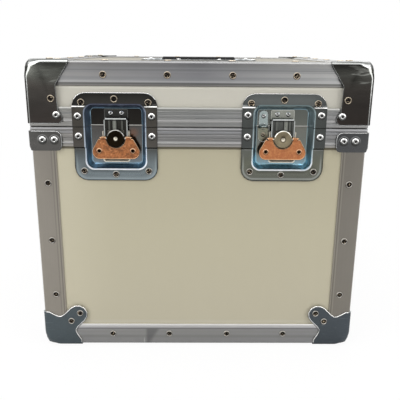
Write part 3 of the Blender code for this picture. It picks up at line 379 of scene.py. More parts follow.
def cap_plating(name):
    """Mirror plating of the lid's corners with a painted reflection: grey-green above, brown-black below
    and darker on the right; painted highlights on its rounds and top, and a dull dark band on its outer
    rounds as a painted dark reflection.
    """
    f = Finish(name)
    x, y, z = f.axes()
    facing_x, facing_y, facing_z = [abs(part) for part in f.normal()]
    cloud = f.noise(0.018, (1.4, 1.4, 0.6), detail=4.0)
    grain = f.noise(0.0012, detail=1.0)
    wave = f.noise(0.016, (2.6, 2.6, 0.5), detail=2.0)
    height = z - seam + (wave - 0.5) * 0.016
    # Painted reflection: lighter grey-green above, brown-black below, darker towards the right
    colour = f.graded(height, (0.006, (66, 61, 58)), (0.03, (68, 65, 62)), (0.050, (77, 74, 70)),
                      (0.060, (93, 94, 89)), (0.069, (122, 124, 118)), (0.0805, (100, 102, 98)))
    colour = f.mix(x.between(-0.05, 0.05) * 0.5, colour, srgb(44, 40, 38))
    colour = f.lit(colour, 0.86 + 0.22 * cloud + 0.06 * grain)
    # Painted highlights on the side and top rounds, a painted sheen on the top faces and painted
    # reflection streaks
    beside = facing_x.between(0.14, 0.24) * (1.0 - facing_x.between(0.36, 0.46))
    above = facing_z.between(0.22, 0.38) * (1.0 - facing_z.between(0.58, 0.72))
    outermost = facing_x.between(0.40, 0.50) * abs(y - middle).between(right - 0.010, right - 0.006)
    colour = f.painted(
        colour,
        (beside * facing_y.between(0.15, 0.5), (186, 188, 186), 0.65),
        (above * facing_y.between(0.15, 0.5), (232, 234, 232), 0.8),
        (facing_z.between(0.55, 0.9), (136, 138, 136), 0.45),
        (wave.band(0.62, 0.70, 0.03) * height.between(0.052, 0.064), (184, 186, 180), 0.6),
    )
    # The outermost rounds mix into a dull dark shader, a painted dark reflection
    metal = f.node("BsdfPrincipled", None, Base_Color=colour, Roughness=0.14 + 0.10 * cloud,
                   Metallic=1.0, Normal=f.bump(cloud + wave * 0.5, 0.16, 0.0012))
    shade = f.node("BsdfPrincipled", None, Base_Color=srgb(40, 38, 36), Roughness=0.8,
                   Specular_IOR_Level=0.0)
    f.node("OutputMaterial", None, f.node("MixShader", None, outermost * 0.85, metal, shade))
    return f.made


def brace_plating(name):
    """Plating of the closure braces; the ring pressed round each rivet is painted in, with a painted
    highlight above it and painted shade below, and painted highlights where it faces up.
    """
    f = Finish(name)
    x, y, z = f.axes()
    facing_x, _, facing_z = f.normal("True Normal")
    run = abs(x) + (abs(y - middle) - abs(x)) * abs(facing_x)
    height = z - (seam + brace_height)
    cloud = f.noise(0.012, (1.0, 1.0, 0.7), detail=4.0)
    grain = f.noise(0.0012, detail=1.0)
    colour = f.mix(x.between(-0.05, 0.05), srgb(83, 82, 80), srgb(74, 75, 76))
    colour = f.lit(colour, 0.82 + 0.26 * cloud + 0.08 * grain)
    above = height.between(-0.004, 0.004)
    # Painted highlight above and painted shade below each rivet's ring, and painted highlights where the
    # brace faces up
    coats = []
    for at in brace_rivets:
        away = ((run - at) ** 2.0 + height ** 2.0) ** 0.5
        coats += [(away.line(0.0062, 0.0004) * above, (168, 170, 170), 0.55),
                  (away.line(0.0055, 0.0006) * (1.0 - above), (48, 48, 46), 0.55)]
    colour = f.painted(colour, *coats, (facing_z.between(0.4, 0.8), (216, 216, 212), 0.8))
    return f.surface(Base_Color=colour, Roughness=0.22 + 0.12 * cloud, Metallic=1.0,
                     Normal=f.bump(cloud, 0.15, 0.0010))


def dish_plating(name, centre_x, tones, speckle):
    """Mirror plating of a latch dish whose flange, rim, wall and floor carry painted reflections, with
    painted highlight and shade lines on its rim, steps and lip.
    """
    f = Finish(name)
    x, _, z = f.axes()
    across, up = x - centre_x, z - seam
    rim = f.rounded(across, up, *rim_outline)
    depth = 0.0 - rim
    inward = 0.0 - f.rounded(across, up, *dish_outline)
    on_flange = rim.between(0.0, 0.0010)
    near_foot = 1.0 - up.between(-0.05, -0.03)
    cloud = f.noise(0.020, (1.0, 1.0, 0.7), detail=4.0)
    smear = f.noise(0.010, (0.35, 0.35, 1.8), detail=3.0)
    grain = f.noise(0.0015, detail=2.0)

    def toned(part, *places):
        """The painted reflection tones of a part of the dish, from its foot up."""
        return f.graded(up, *zip(places, tones[part]))

    flange = toned("flange", dish_foot, -0.045, -0.0275, -0.0240, 0.0, 0.0240, 0.0275, dish_top)
    flange = f.lit(flange, 0.84 + 0.22 * cloud + 0.10 * smear)
    wall = f.lit(toned("wall", rim_foot, -0.044, -0.015, 0.018, rim_top), 0.5 + 1.0 * smear)
    floor = toned("floor", -0.050, -0.036, -0.001, 0.001, rim_top)
    floor = f.lit(floor, (1.0 - speckle) + (2.0 * speckle) * (0.5 * grain + 0.5 * cloud))
    rimming = toned("rim", rim_foot, -0.03, 0.0, 0.024, rim_top)
    # Painted reflections in the flange, wall, floor and rim tones
    colour = f.mix(depth.between(0.0010, 0.0020), flange, wall)
    colour = f.mix(depth.between(0.0050, 0.0062), colour, floor)
    colour = f.mix(depth.band(0.0004, 0.0018, 0.0004), colour, rimming)
    foot_rim = depth.band(0.0002, 0.0021, 0.0004) * (1.0 - up.between(-0.050, -0.036))
    # Painted highlight and shade lines at the floor's foot, under the rim, along the flange's steps and
    # lip and across the floor, and a dark line at the seam
    colour = f.painted(
        colour,
        (depth.line(0.0065, 0.0005), tones["foot line"], 0.6),
        (depth.line(0.0026, 0.0006) * near_foot, tones["under rim"], 0.8),
        (up.band(0.0254, 0.0280, 0.0002) * on_flange, tones["slope"], 0.9),
        (up.line(0.0249, 0.0006) * on_flange, tones["step"], 1.0),
        (up.line(0.0236, 0.0005) * on_flange, (40, 40, 40), 0.4),
        (up.line(-0.0262, 0.0005) * on_flange, (42, 42, 42), 0.7),
        (up.line(-0.0275, 0.0005) * on_flange, tones["step under"], 0.5),
        (up.line(0.0, 0.0005) * on_flange, (38, 38, 38), 0.6),
        (up.line(0.0005, 0.0005) * depth.between(0.0060, 0.0070), (226, 224, 218), 0.95),
        (inward.line(0.0030, 0.0009) * near_foot, tones["lip foot"], 0.4),
        (inward.band(-0.0004, 0.0011, 0.0003) * near_foot, (36, 38, 39), 0.95),
        (inward.band(-0.0004, 0.0007, 0.0003) * up.band(-0.04, 0.024, 0.004), (52, 54, 54), 0.6),
        (foot_rim, (246, 248, 252), 0.85),
    )
    # A painted reflection of the copper wing on the floor
    if "painted copper reflection" in tones:
        away = ((across - 0.0212) ** 2.0 + (up + 0.0090) ** 2.0) ** 0.5
        colour = f.painted(colour, (1.0 - away.between(0.0010, 0.0085), tones["painted copper reflection"], 0.40))
    # A painted glint on the lower wall
    gleam = depth.line(0.0046, 0.0028) * up.between(-0.030, -0.042)
    gleam = gleam * (0.25 + 0.75 * abs(across).between(0.016, 0.030))
    colour = f.painted(colour, (gleam * smear.between(0.35, 0.6), tones["glint"], 0.85))
    rough = 0.12 + 0.10 * cloud + 0.30 * depth.band(0.0020, 0.0058) + 0.30 * foot_rim
    return f.surface(Base_Color=colour, Roughness=rough, Metallic=1.0,
                     Normal=f.bump(cloud + 0.3 * smear, 0.10, 0.0010))


def link_plating(name, centre_x, tone, bright):
    """The draw link: painted highlight and shade lines for its ribs, painted highlights where its edges
    and hook turn, and a painted shade line under the hook's top.
    """
    f = Finish(name)
    x, _, z = f.axes()
    across, up = x - centre_x, z - seam
    cloud = f.noise(0.006, (0.4, 0.4, 1.6), detail=3.0)
    colour = f.lit(f.graded(up, (-0.026, dimmed(tone, 0.8)), (-0.004, tone), (0.010, dimmed(tone, 1.25))),
                   0.75 + 0.5 * cloud)
    # Painted highlight and shade lines for the ribs, painted highlights on the edges and hook, painted
    # shade under the hook's top
    colour = f.painted(
        colour,
        (across.line(bright, 0.0020), (150, 152, 144), 0.8),
        (across.line(bright - 0.0032, 0.0006), (26, 26, 25), 0.8),
        (across.line(bright + 0.0032, 0.0006), (28, 28, 27), 0.8),
        (abs(across).line(0.0080, 0.0007), (122, 124, 118), 0.6),
        (abs(across).line(0.0104, 0.0007), (34, 35, 34), 0.6),
        (abs(across).line(0.0141, 0.0006), (206, 210, 208), 0.85),
        (up.band(0.0087, 0.0106, 0.0003), (226, 229, 228), 0.9),
        (up.line(0.0075, 0.0007) * (1.0 - abs(across).between(0.0132, 0.0138)), (40, 41, 40), 0.8),
    )
    return f.surface(Base_Color=colour, Roughness=0.16 + 0.12 * cloud, Metallic=1.0)


def keeper_plating(name, centre_x, tone, lip, outline):
    """The keeper: a plate in the dish floor's tone, lighter towards the top, with painted highlights on
    its lip and outline.
    """
    f = Finish(name)
    x, _, z = f.axes()
    across, up = x - centre_x, z - seam
    cloud = f.noise(0.006, detail=4.0)
    grain = f.noise(0.0012, detail=2.0)
    colour = f.lit(f.graded(up, (0.0, dimmed(tone, 0.9)), (0.021, dimmed(tone, 1.05))),
                   0.8 + 0.25 * cloud + 0.15 * grain)
    # Painted highlights on the outline and lip
    colour = f.painted(
        colour,
        (abs(across).line(0.0146, 0.0005), outline, 0.6),
        (up.line(0.0207, 0.0005), outline, 0.7),
        (up.band(0.0028, 0.0062, 0.0004), lip, 0.85),
    )
    return f.surface(Base_Color=colour, Roughness=0.2 + 0.12 * cloud, Metallic=1.0,
                     Normal=f.bump(cloud, 0.12, 0.0006))


def copper(name, centre_x, tone, dark, light, fleck):
    """A copper-coloured wing, worn to a mottle, rubbed paler in places, with fine scratches, and a painted
    highlight above and painted shade below the rim of each hole.
    """
    f = Finish(name)
    x, _, z = f.axes()
    cloud = f.noise(0.009, detail=4.0)
    mottle = f.noise(0.0022, detail=3.0)
    scratch = f.noise(0.010, (1.0, 1.0, 0.06), detail=2.0).between(0.60, 0.74)
    colour = f.mix((mottle * 0.6 + cloud * 0.4).between(0.36, 0.62), srgb(*dark), srgb(*tone))
    # Painted highlight above and painted shade below the rim of each hole
    rings = []
    for side in (-1, 1):
        across, up = x - (centre_x + side * wing_hole[0]), z - (wing_axis_z - wing_hole[1])
        away = (across ** 2.0 + up ** 2.0) ** 0.5
        above, below = up.between(-0.001, 0.002), 1.0 - up.between(-0.002, 0.001)
        rings += [(away.line(0.0032, 0.0005) * above, (250, 216, 182), 0.7),
                  (away.line(0.0034, 0.0006) * below, dimmed(dark, 0.6), 0.6)]
    colour = f.painted(colour, (mottle.between(0.58, 0.74), light, fleck), (scratch, light, 0.25), *rings)
    return f.surface(Base_Color=colour, Roughness=0.36 + 0.16 * cloud, Metallic=0.4,
                     Normal=f.bump(mottle + scratch, 0.18, 0.0002))


def turned(name, centre_x, knob_tone, bevel_highlight_tone, body_tone):
    """The spindle: a toned knob with turning marks, a painted highlight above its bevel and painted shade
    below, and a rivet tip with a painted highlight ringed with painted shade.
    """
    f = Finish(name)
    x, y, z = f.axes()
    facing_z = f.normal("True Normal")[2]
    radius = ((x - centre_x) ** 2.0 + (z - spindle_z) ** 2.0) ** 0.5
    mark_pitch = 0.0011
    rings = f.node("Math", {"operation": "SINE"}, radius * (2 * math.pi / mark_pitch)) * 0.5 + 0.5
    cloud = f.noise(0.005, detail=4.0)
    knob = (knob_face - y).between(0.0, 0.0004)
    colour = f.mix(knob, srgb(*body_tone), srgb(*knob_tone))
    colour = f.lit(colour, 0.66 + 0.50 * cloud + 0.16 * rings)
    bevel = radius.between(0.0100, 0.0106) * knob
    # Painted highlight and shade on the bevel, a painted highlight on the rivet tip and a painted shade
    # ring round it
    colour = f.painted(
        colour,
        (bevel * facing_z.between(0.05, 0.35), bevel_highlight_tone, 0.9),
        (bevel * facing_z.between(-0.05, -0.30), (26, 22, 18), 0.9),
        ((1.0 - radius.between(0.0020, 0.0028)) * knob, (226, 218, 200), 0.95),
        (radius.line(0.0031, 0.0005) * knob, (34, 28, 22), 0.7),
    )
    return f.surface(Base_Color=colour, Roughness=0.2 + 0.2 * cloud, Metallic=1.0,
                     Normal=f.bump(rings * knob + cloud, 0.10, 0.00012))


def plain_steel(name, tone, roughness, spread=0.3):
    """Plain plated metal, its tone clouded by a spread to both sides."""
    f = Finish(name)
    cloud = f.noise(0.006, detail=4.0)
    grain = f.noise(0.0009, detail=1.0)
    colour = f.lit(srgb(*tone), (1.0 - spread) + 2 * spread * cloud)
    return f.surface(Base_Color=colour, Roughness=roughness - 0.05 + 0.15 * cloud, Metallic=1.0,
                     Normal=f.bump(cloud + grain * 0.1, 0.08, 0.0003))


def lit_and_shaded(name, high_tone, low_tone, roughness, mottle=0.0):
    """Metal of small rounds: a painted highlight tone where it faces up and a painted shade tone where it
    faces down.
    """
    f = Finish(name)
    facing_z = f.normal()[2]
    cloud = f.noise(0.0018, detail=3.0)
    # Painted light: the highlight tone faces up, the shade tone down
    share = (facing_z + (cloud - 0.5) * mottle).between(-0.30, 0.50)
    colour = f.lit(f.mix(share, srgb(*low_tone), srgb(*high_tone)), 0.85 + 0.3 * cloud)
    return f.surface(Base_Color=colour, Roughness=roughness + 0.1 * cloud, Metallic=1.0)


def splayed(name, dark, light):
    """The splayed end inside an old rivet: painted dark as the hollow's shade, with small bright leaves.
    """
    f = Finish(name)
    leaf = f.noise(0.0016, detail=1.0)
    colour = f.mix(leaf.between(0.57, 0.70), srgb(*dark), srgb(*light))
    return f.surface(Base_Color=colour, Roughness=0.4 + 0.2 * leaf, Metallic=0.8,
                     Normal=f.bump(leaf, 0.5, 0.0005))


def rubber(name):
    """Dull black rubber, dusty in places."""
    f = Finish(name)
    dust = f.noise(0.008, detail=4.0)
    grain = f.noise(0.0008, detail=1.0)
    colour = f.mix(dust.between(0.5, 0.8) * 0.4, srgb(12, 12, 12), srgb(40, 39, 38))
    return f.surface(Base_Color=colour, Roughness=0.6 + 0.2 * dust, Specular_IOR_Level=0.25,
                     Normal=f.bump(grain, 0.25, 0.0003))


def from_seam(*lines):
    """Lines whose heights are given from the seam."""
    return [(seam + at, half, tone, share) for at, half, tone, share in lines]


# Painted highlight and shade lines along the drawn sections, as height, half width, tone and strength
top_lines = from_seam(
    (0.0708, 0.0010, (162, 164, 167), 0.6), (0.0686, 0.0008, (136, 138, 140), 0.6),
    (0.0663, 0.0008, (154, 155, 158), 0.5), (0.0586, 0.0022, (134, 136, 138), 0.5),
    (0.0551, 0.0007, (166, 166, 167), 0.8), (0.0525, 0.0012, (88, 88, 86), 0.85),
    (0.0512, 0.0005, (112, 111, 106), 0.5), (0.0497, 0.0010, (92, 89, 83), 0.85),
)
lid_rail_lines = from_seam(
    (0.0236, 0.0012, (222, 222, 217), 0.9), (0.0218, 0.0006, (130, 132, 128), 0.6),
    (0.0201, 0.0006, (152, 153, 149), 0.7), (0.0176, 0.0008, (120, 121, 120), 0.7),
    (0.0164, 0.0005, (154, 155, 154), 0.8), (0.0095, 0.0006, (150, 149, 148), 0.6),
    (0.0080, 0.0008, (186, 185, 184), 0.9), (0.0066, 0.0006, (106, 106, 104), 0.85),
    (0.0019, 0.0006, (142, 141, 138), 0.7), (0.0005, 0.0006, (104, 103, 101), 0.8),
)
base_rail_lines = from_seam(
    (-0.0007, 0.0005, (118, 119, 119), 0.6), (-0.0020, 0.0007, (186, 186, 188), 0.9),
    (-0.0032, 0.0005, (122, 123, 125), 0.6), (-0.0062, 0.0016, (141, 142, 145), 0.6),
    (-0.0150, 0.0020, (119, 119, 118), 0.6), (-0.0195, 0.0007, (190, 190, 189), 0.9),
    (-0.0207, 0.0005, (126, 124, 122), 0.6), (-0.0231, 0.0008, (158, 154, 147), 0.8),
)
bottom_lines = [
    (0.0311, 0.0012, (255, 254, 252), 1.0), (0.0289, 0.0014, (196, 195, 195), 0.9),
    (0.0268, 0.0012, (174, 173, 175), 0.8), (0.0250, 0.0008, (104, 104, 106), 0.8),
    (0.0200, 0.0016, (133, 133, 131), 0.5), (0.0130, 0.0020, (121, 121, 119), 0.5),
]
upright_lines = [
    (0.0262, 0.0007, (120, 116, 108), 0.6), (0.0283, 0.0007, (148, 143, 134), 0.5),
    (0.0300, 0.0008, (104, 100, 92), 0.6), (0.0315, 0.0006, (156, 150, 139), 0.5),
]

cream = laminate("cream_laminate")
top_aluminium = drawn("top_edging_aluminium", ((166, 165, 164), (142, 142, 145), (196, 196, 194)),
                      top_lines, edge="top")
bottom_aluminium = drawn("bottom_edging_aluminium", ((140, 140, 140), (137, 137, 137), (140, 140, 141)),
                         bottom_lines, knock=-0.0724)
lid_rail_aluminium = drawn("lid_rail_aluminium", ((145, 144, 141), (136, 137, 136), (153, 153, 153)),
                           lid_rail_lines)
base_rail_aluminium = drawn("base_rail_aluminium", ((138, 136, 133), (129, 129, 129), (140, 140, 140)),
                            base_rail_lines)
upright_aluminium = drawn("upright_aluminium", ((137, 132, 124), (129, 125, 117), (121, 117, 110)),
                          upright_lines, along="z", edge="side", lip=(196, 194, 188))
corner_steel = foot_plating("dull_corner_steel")
cap_steel = cap_plating("mirror_cap_steel")
brace_steel = brace_plating("brace_steel")
# Dish tones: painted reflections of flange, wall, floor and rim, painted highlights (step, step under,
# foot line, lip foot, glint), painted shade (under rim, slope) and a painted copper reflection
left_dish = dish_plating("left_dish_plating", -latch_x, {
    "flange": ((133, 144, 148), (109, 117, 120), (78, 80, 78), (84, 81, 77), (79, 76, 71), (79, 76, 71),
               (52, 51, 49), (46, 45, 43)),
    "wall": ((64, 94, 124), (150, 186, 214), (122, 142, 166), (122, 142, 166), (80, 84, 106)),
    "floor": ((112, 124, 132), (104, 104, 102), (87, 85, 83), (46, 44, 41), (38, 36, 35)),
    "rim": ((236, 241, 246), (188, 200, 212), (168, 182, 196), (104, 112, 128), (56, 58, 74)),
    "foot line": (150, 184, 206), "under rim": (30, 44, 62), "step": (246, 246, 242),
    "slope": (50, 50, 48), "step under": (128, 130, 128), "lip foot": (150, 160, 162),
    "painted copper reflection": (140, 96, 70), "glint": (128, 172, 204)}, 0.34)
right_dish = dish_plating("right_dish_plating", latch_x, {
    "flange": ((114, 116, 108), (102, 104, 93), (100, 102, 97), (77, 80, 79), (80, 83, 81), (80, 83, 81),
               (85, 88, 87), (103, 107, 106)),
    "wall": ((92, 128, 150), (158, 196, 214), (150, 168, 176), (150, 168, 176), (112, 128, 130)),
    "floor": ((128, 158, 172), (116, 122, 118), (120, 121, 114), (112, 115, 109), (98, 102, 98)),
    "rim": ((240, 244, 246), (180, 196, 200), (150, 166, 170), (128, 144, 146), (92, 108, 110)),
    "foot line": (160, 196, 210), "under rim": (58, 70, 76), "step": (250, 250, 248),
    "slope": (96, 98, 97), "step under": (150, 152, 150), "lip foot": (176, 180, 178),
    "glint": (140, 200, 226)}, 0.14)
left_keeper = keeper_plating("left_keeper_plating", -latch_x, (56, 56, 54), (206, 208, 206),
                             (104, 106, 104))
right_keeper = keeper_plating("right_keeper_plating", latch_x, (148, 150, 142), (248, 248, 244),
                              (206, 208, 200))
left_link = link_plating("left_link_plating", -latch_x, (48, 47, 44), -0.0014)
right_link = link_plating("right_link_plating", latch_x, (78, 80, 77), 0.0034)
frame_steel = plain_steel("frame_steel", (214, 208, 194), 0.42, spread=0.15)
handle_zinc = plain_steel("handle_zinc", (158, 162, 164), 0.26, spread=0.12)
hinge_steel = plain_steel("hinge_steel", (138, 141, 142), 0.28, spread=0.2)
pin_steel = plain_steel("pin_steel", (186, 184, 176), 0.22)
# Rivet and bead metals: painted highlights where they face up and painted shade where they face down; the
# rivets' hollows are painted dark as shade
bright_rivet = (lit_and_shaded("bright_rivet", (252, 252, 250), (70, 71, 70), 0.2),
                plain_steel("bright_rivet_bore", (54, 52, 49), 0.4))
old_bore = splayed("old_rivet_bore", (14, 11, 9), (186, 168, 142))
old_rivet = (lit_and_shaded("old_rivet", (224, 210, 188), (52, 42, 33), 0.26, 0.6), old_bore)
grey_rivet = (lit_and_shaded("grey_rivet", (204, 200, 192), (58, 55, 51), 0.26, 0.6), old_bore)
bright_edge = lit_and_shaded("bright_edge", (252, 252, 251), (74, 78, 80), 0.2)
dark_edge = lit_and_shaded("dark_edge", (196, 198, 196), (38, 38, 38), 0.2)
copper_edge = lit_and_shaded("copper_edge", (246, 202, 160), (112, 66, 38), 0.3)
left_copper = copper("left_wing_copper", -latch_x, (171, 106, 58), (116, 70, 38), (210, 156, 112), 0.5)
right_copper = copper("right_wing_copper", latch_x, (180, 117, 70), (162, 95, 55), (216, 152, 108), 0.4)
left_knob = turned("left_knob_steel", -latch_x, (27, 21, 13), (184, 182, 176), (150, 152, 152))
right_knob = turned("right_knob_steel", latch_x, (134, 124, 102), (240, 240, 234), (176, 176, 172))
upper_zinc = plain_steel("upper_lug_zinc", (168, 180, 178), 0.22, spread=0.2)
lower_nickel = plain_steel("lower_lug_nickel", (132, 132, 116), 0.26, spread=0.25)
black_rubber = rubber("black_rubber")

# The finish of each node, by the first of these words that is in its name
finishes = (
    ("_panel", cream), ("base_edge", upright_aluminium), ("bottom_corner", corner_steel),
    ("lid_cap", cap_steel), ("closure_brace", brace_steel), ("_pin", pin_steel), ("hinge", hinge_steel),
    ("lid_top_edging", top_aluminium), ("base_bottom_edging", bottom_aluminium),
    ("lid_closure_rail", lid_rail_aluminium), ("base_closure_rail", base_rail_aluminium),
    ("left_dish", left_dish), ("right_dish", right_dish), ("latch_frame", frame_steel),
    ("left_keeper", left_keeper), ("right_keeper", right_keeper),
    ("left_draw_link", left_link), ("right_draw_link", right_link),
    ("left_wing", left_copper), ("right_wing", right_copper),
    ("left_latch_spindle", left_knob), ("right_latch_spindle", right_knob),
    ("padlock_lug_upper", upper_zinc), ("padlock_lug_lower", lower_nickel),
    ("handle_grip", black_rubber), ("handle", handle_zinc),
)


def soften(obj):
    """Even shading over rounded faces, with the sharp edges kept."""
    mesh = obj.data
    if "custom_normal" in mesh.attributes:
        mesh.attributes.remove(mesh.attributes["custom_normal"])
    mesh.shade_smooth()
    weld = obj.modifiers.new("weld", "WELD")
    weld.merge_threshold = same_point
    split = obj.modifiers.new("split", "EDGE_SPLIT")
    split.split_angle = smooth_angle


for name, obj in nodes.items():
    obj.data.materials.clear()
    obj.data.materials.append(next(finish for word, finish in finishes if word in name))
    soften(obj)


def new_object(name, data):
    """A new object in the scene."""
    obj = bpy.data.objects.new(name, data)
    bpy.context.scene.collection.objects.link(obj)
    return obj


def add_piece(name, mesh, body, metals):
    """A new piece of the scene, in its metals, on the body that carries it."""
    for metal in metals:
        mesh.materials.append(metal)
    obj = new_object(name, mesh)
    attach(obj, body)
    return obj


# Edge beads: thin beads along the sharp edges of the sheet parts, painted with a highlight where they face
# up and shade where they face down


def sharp_chains(node, keep):
    """The sharp edges of a node that keep picks, as chains of points and their ways out of the metal."""
    bm = bmesh.new()
    bm.from_mesh(nodes[node].data)
    bmesh.ops.remove_doubles(bm, verts=bm.verts, dist=same_point)
    bm.normal_update()
    picked = {}
    for edge in bm.edges:
        if len(edge.link_faces) == 2 and edge.calc_face_angle() > bead_angle:
            if all(keep(vert.co) for vert in edge.verts) and edge.calc_length() > short_edge:
                for vert in edge.verts:
                    picked.setdefault(vert, []).append(edge)
    chains, used = [], set()
    starts = [vert for vert in picked if len(picked[vert]) != 2] + list(picked)
    for start in starts:
        for first in picked[start]:
            if first in used:
                continue
            chain, vert, edge = [start], start, first
            while edge is not None:
                used.add(edge)
                vert = edge.other_vert(vert)
                chain.append(vert)
                onward = picked[vert] if len(picked[vert]) == 2 else ()
                edge = next((e for e in onward if e not in used), None)
            points = []
            for vert in chain:
                normals = (face.normal for e in picked[vert] for face in e.link_faces)
                way = sum(normals, Vector((0, 0, 0)))
                points.append((vert.co.copy(), way.normalized() if way.length else way))
            chains.append(points)
    bm.free()
    return chains


def beads(name, body, metal, radius, picks):
    """One piece of thin beads along the sharp edges picked from some nodes, sunk a little into them."""
    sunk = 0.7
    line = bpy.data.curves.new(name, "CURVE")
    line.dimensions = "3D"
    line.bevel_depth = radius
    line.bevel_resolution = 1
    line.use_fill_caps = True
    for node, keep in picks:
        for points in sharp_chains(node, keep):
            closed = (points[0][0] - points[-1][0]).length < same_point
            kept = points[:-1] if closed else points
            spline = line.splines.new("POLY")
            spline.points.add(len(kept) - 1)
            for target, (place, way) in zip(spline.points, kept):
                target.co = (*(place - way * radius * sunk), 1)
            spline.use_cyclic_u = closed
    helper = new_object(name + "_line", line)
    graph = bpy.context.evaluated_depsgraph_get()
    mesh = bpy.data.meshes.new_from_object(helper.evaluated_get(graph))
    bpy.data.objects.remove(helper)
    bpy.data.curves.remove(line)
    mesh.materials.clear()
    mesh.shade_smooth()
    return add_piece(name, mesh, body, [metal])


def near(value, other, slack=0.00006):
    """Whether two values are the same but for a slack."""
    return abs(value - other) < slack


def outer_face(inset):
    """Picks points on the four upright planes that lie this far behind the caps."""
    return lambda p: (near(p.y, front + inset) or near(p.y, back - inset)
                      or near(abs(p.x), right - inset))


corners = ("front_left", "front_right", "back_left", "back_right")
beads("bottom_corner_worn_edge", "base", bright_edge, 0.00100,
      [(f"bottom_corner_{c}", outer_face(foot_face)) for c in corners])
beads("lid_cap_worn_edge", "lid", dark_edge, 0.00035,
      [(f"lid_cap_{c}", outer_face(0.0)) for c in corners])
beads("closure_brace_worn_edge", "base", bright_edge, 0.00055,
      [(f"closure_brace_{c}", outer_face(0.0)) for c in corners])


def flange_top(centre_x):
    """Picks points on the outer edge of a dish's upper flange, past its rim."""
    past_side, past_top = 0.0440, seam + 0.0360
    return lambda p: (near(p.y, front + flange_face) and p.z > seam + rim_top
                      and (abs(p.x - centre_x) > past_side or p.z > past_top))


beads("left_dish_worn_edge", "lid", bright_edge, 0.00085, [("left_dish_upper", flange_top(-latch_x))])
beads("right_dish_worn_edge", "lid", bright_edge, 0.00065, [("right_dish_upper", flange_top(latch_x))])
for name, body in (("padlock_lug_upper", "lid"), ("padlock_lug_lower", "base")):
    plate_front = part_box(name)[1][1] - plate_wall
    beads(f"{name}_worn_edge", body, bright_edge, 0.00035, [(name, lambda p: near(p.y, plate_front))])
wing_lip = 0.0030
for side in ("left", "right"):
    wing_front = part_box(f"{side}_wing")[0][1]
    beads(f"{side}_wing_worn_edge", f"{side}_wing", copper_edge, 0.00050,
          [(f"{side}_wing", lambda p: p.y < wing_front + wing_lip)])


# Rivets: each head is a profile of radius and height, with the material slot of each of its bands

toward, upward = Vector((0, -1, 0)), Vector((0, 0, 1))


def lathe_into(bm, head, place, outward, turn, sides):
    """A turned head set into the mesh, its axis along outward; each row's band takes a material slot."""
    profile, slots = head
    aim = upward.rotation_difference(outward).to_matrix().to_4x4()
    move = Matrix.Translation(place) @ aim @ Matrix.Rotation(turn, 4, "Z")
    rows = []
    for radius, level in profile:
        rows.append([
            bm.verts.new(move @ Vector((radius * math.cos(2 * math.pi * i / sides),
                                        radius * math.sin(2 * math.pi * i / sides), level)))
            for i in range(sides)
        ])
    for row, following, slot in zip(rows, rows[1:], slots):
        for i in range(sides):
            j = (i + 1) % sides
            face = bm.faces.new((row[i], row[j], following[j], following[i]))
            face.material_index, face.smooth = slot, True
    cap = bm.faces.new(rows[-1])
    cap.material_index = slots[-1]
    foot = bm.faces.new(rows[0][::-1])
    foot.material_index = slots[0]


def dome(radius, height, bore):
    """A domed head with a small hollow middle; slot 0 is the head and 1 the hollow."""
    rise = [(radius, 0.0)]
    for step in range(1, 6):
        turn = math.pi / 2 * step / 6
        rise.append((bore + (radius - bore) * math.cos(turn), height * math.sin(turn) ** 0.9))
    rise += [(bore, height * 0.96), (bore * 0.8, height * 0.35), (bore * 0.35, height * 0.2)]
    return rise, [0] * 6 + [1] * 3


def hollow_head(radius, height, bore):
    """A rolled ring round a wide hollow with a low splayed core."""
    ring = (radius - bore) / 2
    rise = [(radius, 0.0)]
    for step in range(1, 6):
        turn = math.pi * step / 6
        rise.append((bore + ring + ring * math.cos(turn), height * math.sin(turn) ** 0.7))
    rise += [(bore, height * 0.15), (bore * 0.62, 0.0002), (bore * 0.45, height * 0.65),
             (bore * 0.2, height * 0.8)]
    return rise, [0] * 5 + [1] * 5


def rivet_set(name, body, metals, spots, head, sides=20):
    """One piece of rivets with the same head, each turned further than the one before."""
    further = 1.7
    bm = bmesh.new()
    for index, (place, outward) in enumerate(spots):
        lathe_into(bm, head, place, outward, index * further, sides)
    mesh = bpy.data.meshes.new(name)
    bm.to_mesh(mesh)
    bm.free()
    return add_piece(name, mesh, body, metals)


# The four upright faces: the way along, the way out and a point under the middle
faces = (
    (Vector((1, 0, 0)), Vector((0, -1, 0)), Vector((0, front, 0))),
    (Vector((1, 0, 0)), Vector((0, 1, 0)), Vector((0, back, 0))),
    (Vector((0, 1, 0)), Vector((-1, 0, 0)), Vector((left, middle, 0))),
    (Vector((0, 1, 0)), Vector((1, 0, 0)), Vector((right, middle, 0))),
)


def on_side(face, run, height, inset):
    """A place on an upright face, by its run from the middle and its height from the seam."""
    along, out, origin = face
    return origin + along * run - out * inset + Vector((0, 0, seam + height)), out


def ahead_of(x, y, height):
    """A place on something that faces the front, by its height from the seam."""
    return Vector((x, y, seam + height)), toward


# Rivets of one side, as run from its middle and height from the seam
pitches = (-0.1170, -0.0395, 0.0395, 0.1170)
lid_row, bottom_row = 0.0627, -0.2849
upright_run, upright_heights = 0.1915, (-0.072, -0.149, -0.226)
foot_spots = ((0.1603, -0.2533), (0.1726, -0.2651))
cap_upper, cap_lower = (0.1806, 0.0341), (0.1752, 0.0144)
lid_old, base_old, base_bright, lid_bright = [], [], [], []
for face in faces:
    for run in pitches:
        lid_old.append(on_side(face, run, lid_row, edging_face))
        base_old.append(on_side(face, run, bottom_row, edging_face))
    for side in (-1, 1):
        for height in upright_heights:
            base_old.append(on_side(face, side * upright_run, height, edging_face))
        for run, height in foot_spots:
            base_old.append(on_side(face, side * run, height, foot_face))
        lid_old.append(on_side(face, side * cap_upper[0], cap_upper[1], 0.0))
        lid_bright.append(on_side(face, side * cap_lower[0], cap_lower[1], 0.0))
        for run in brace_rivets:
            base_bright.append(on_side(face, side * run, brace_height, 0.0))

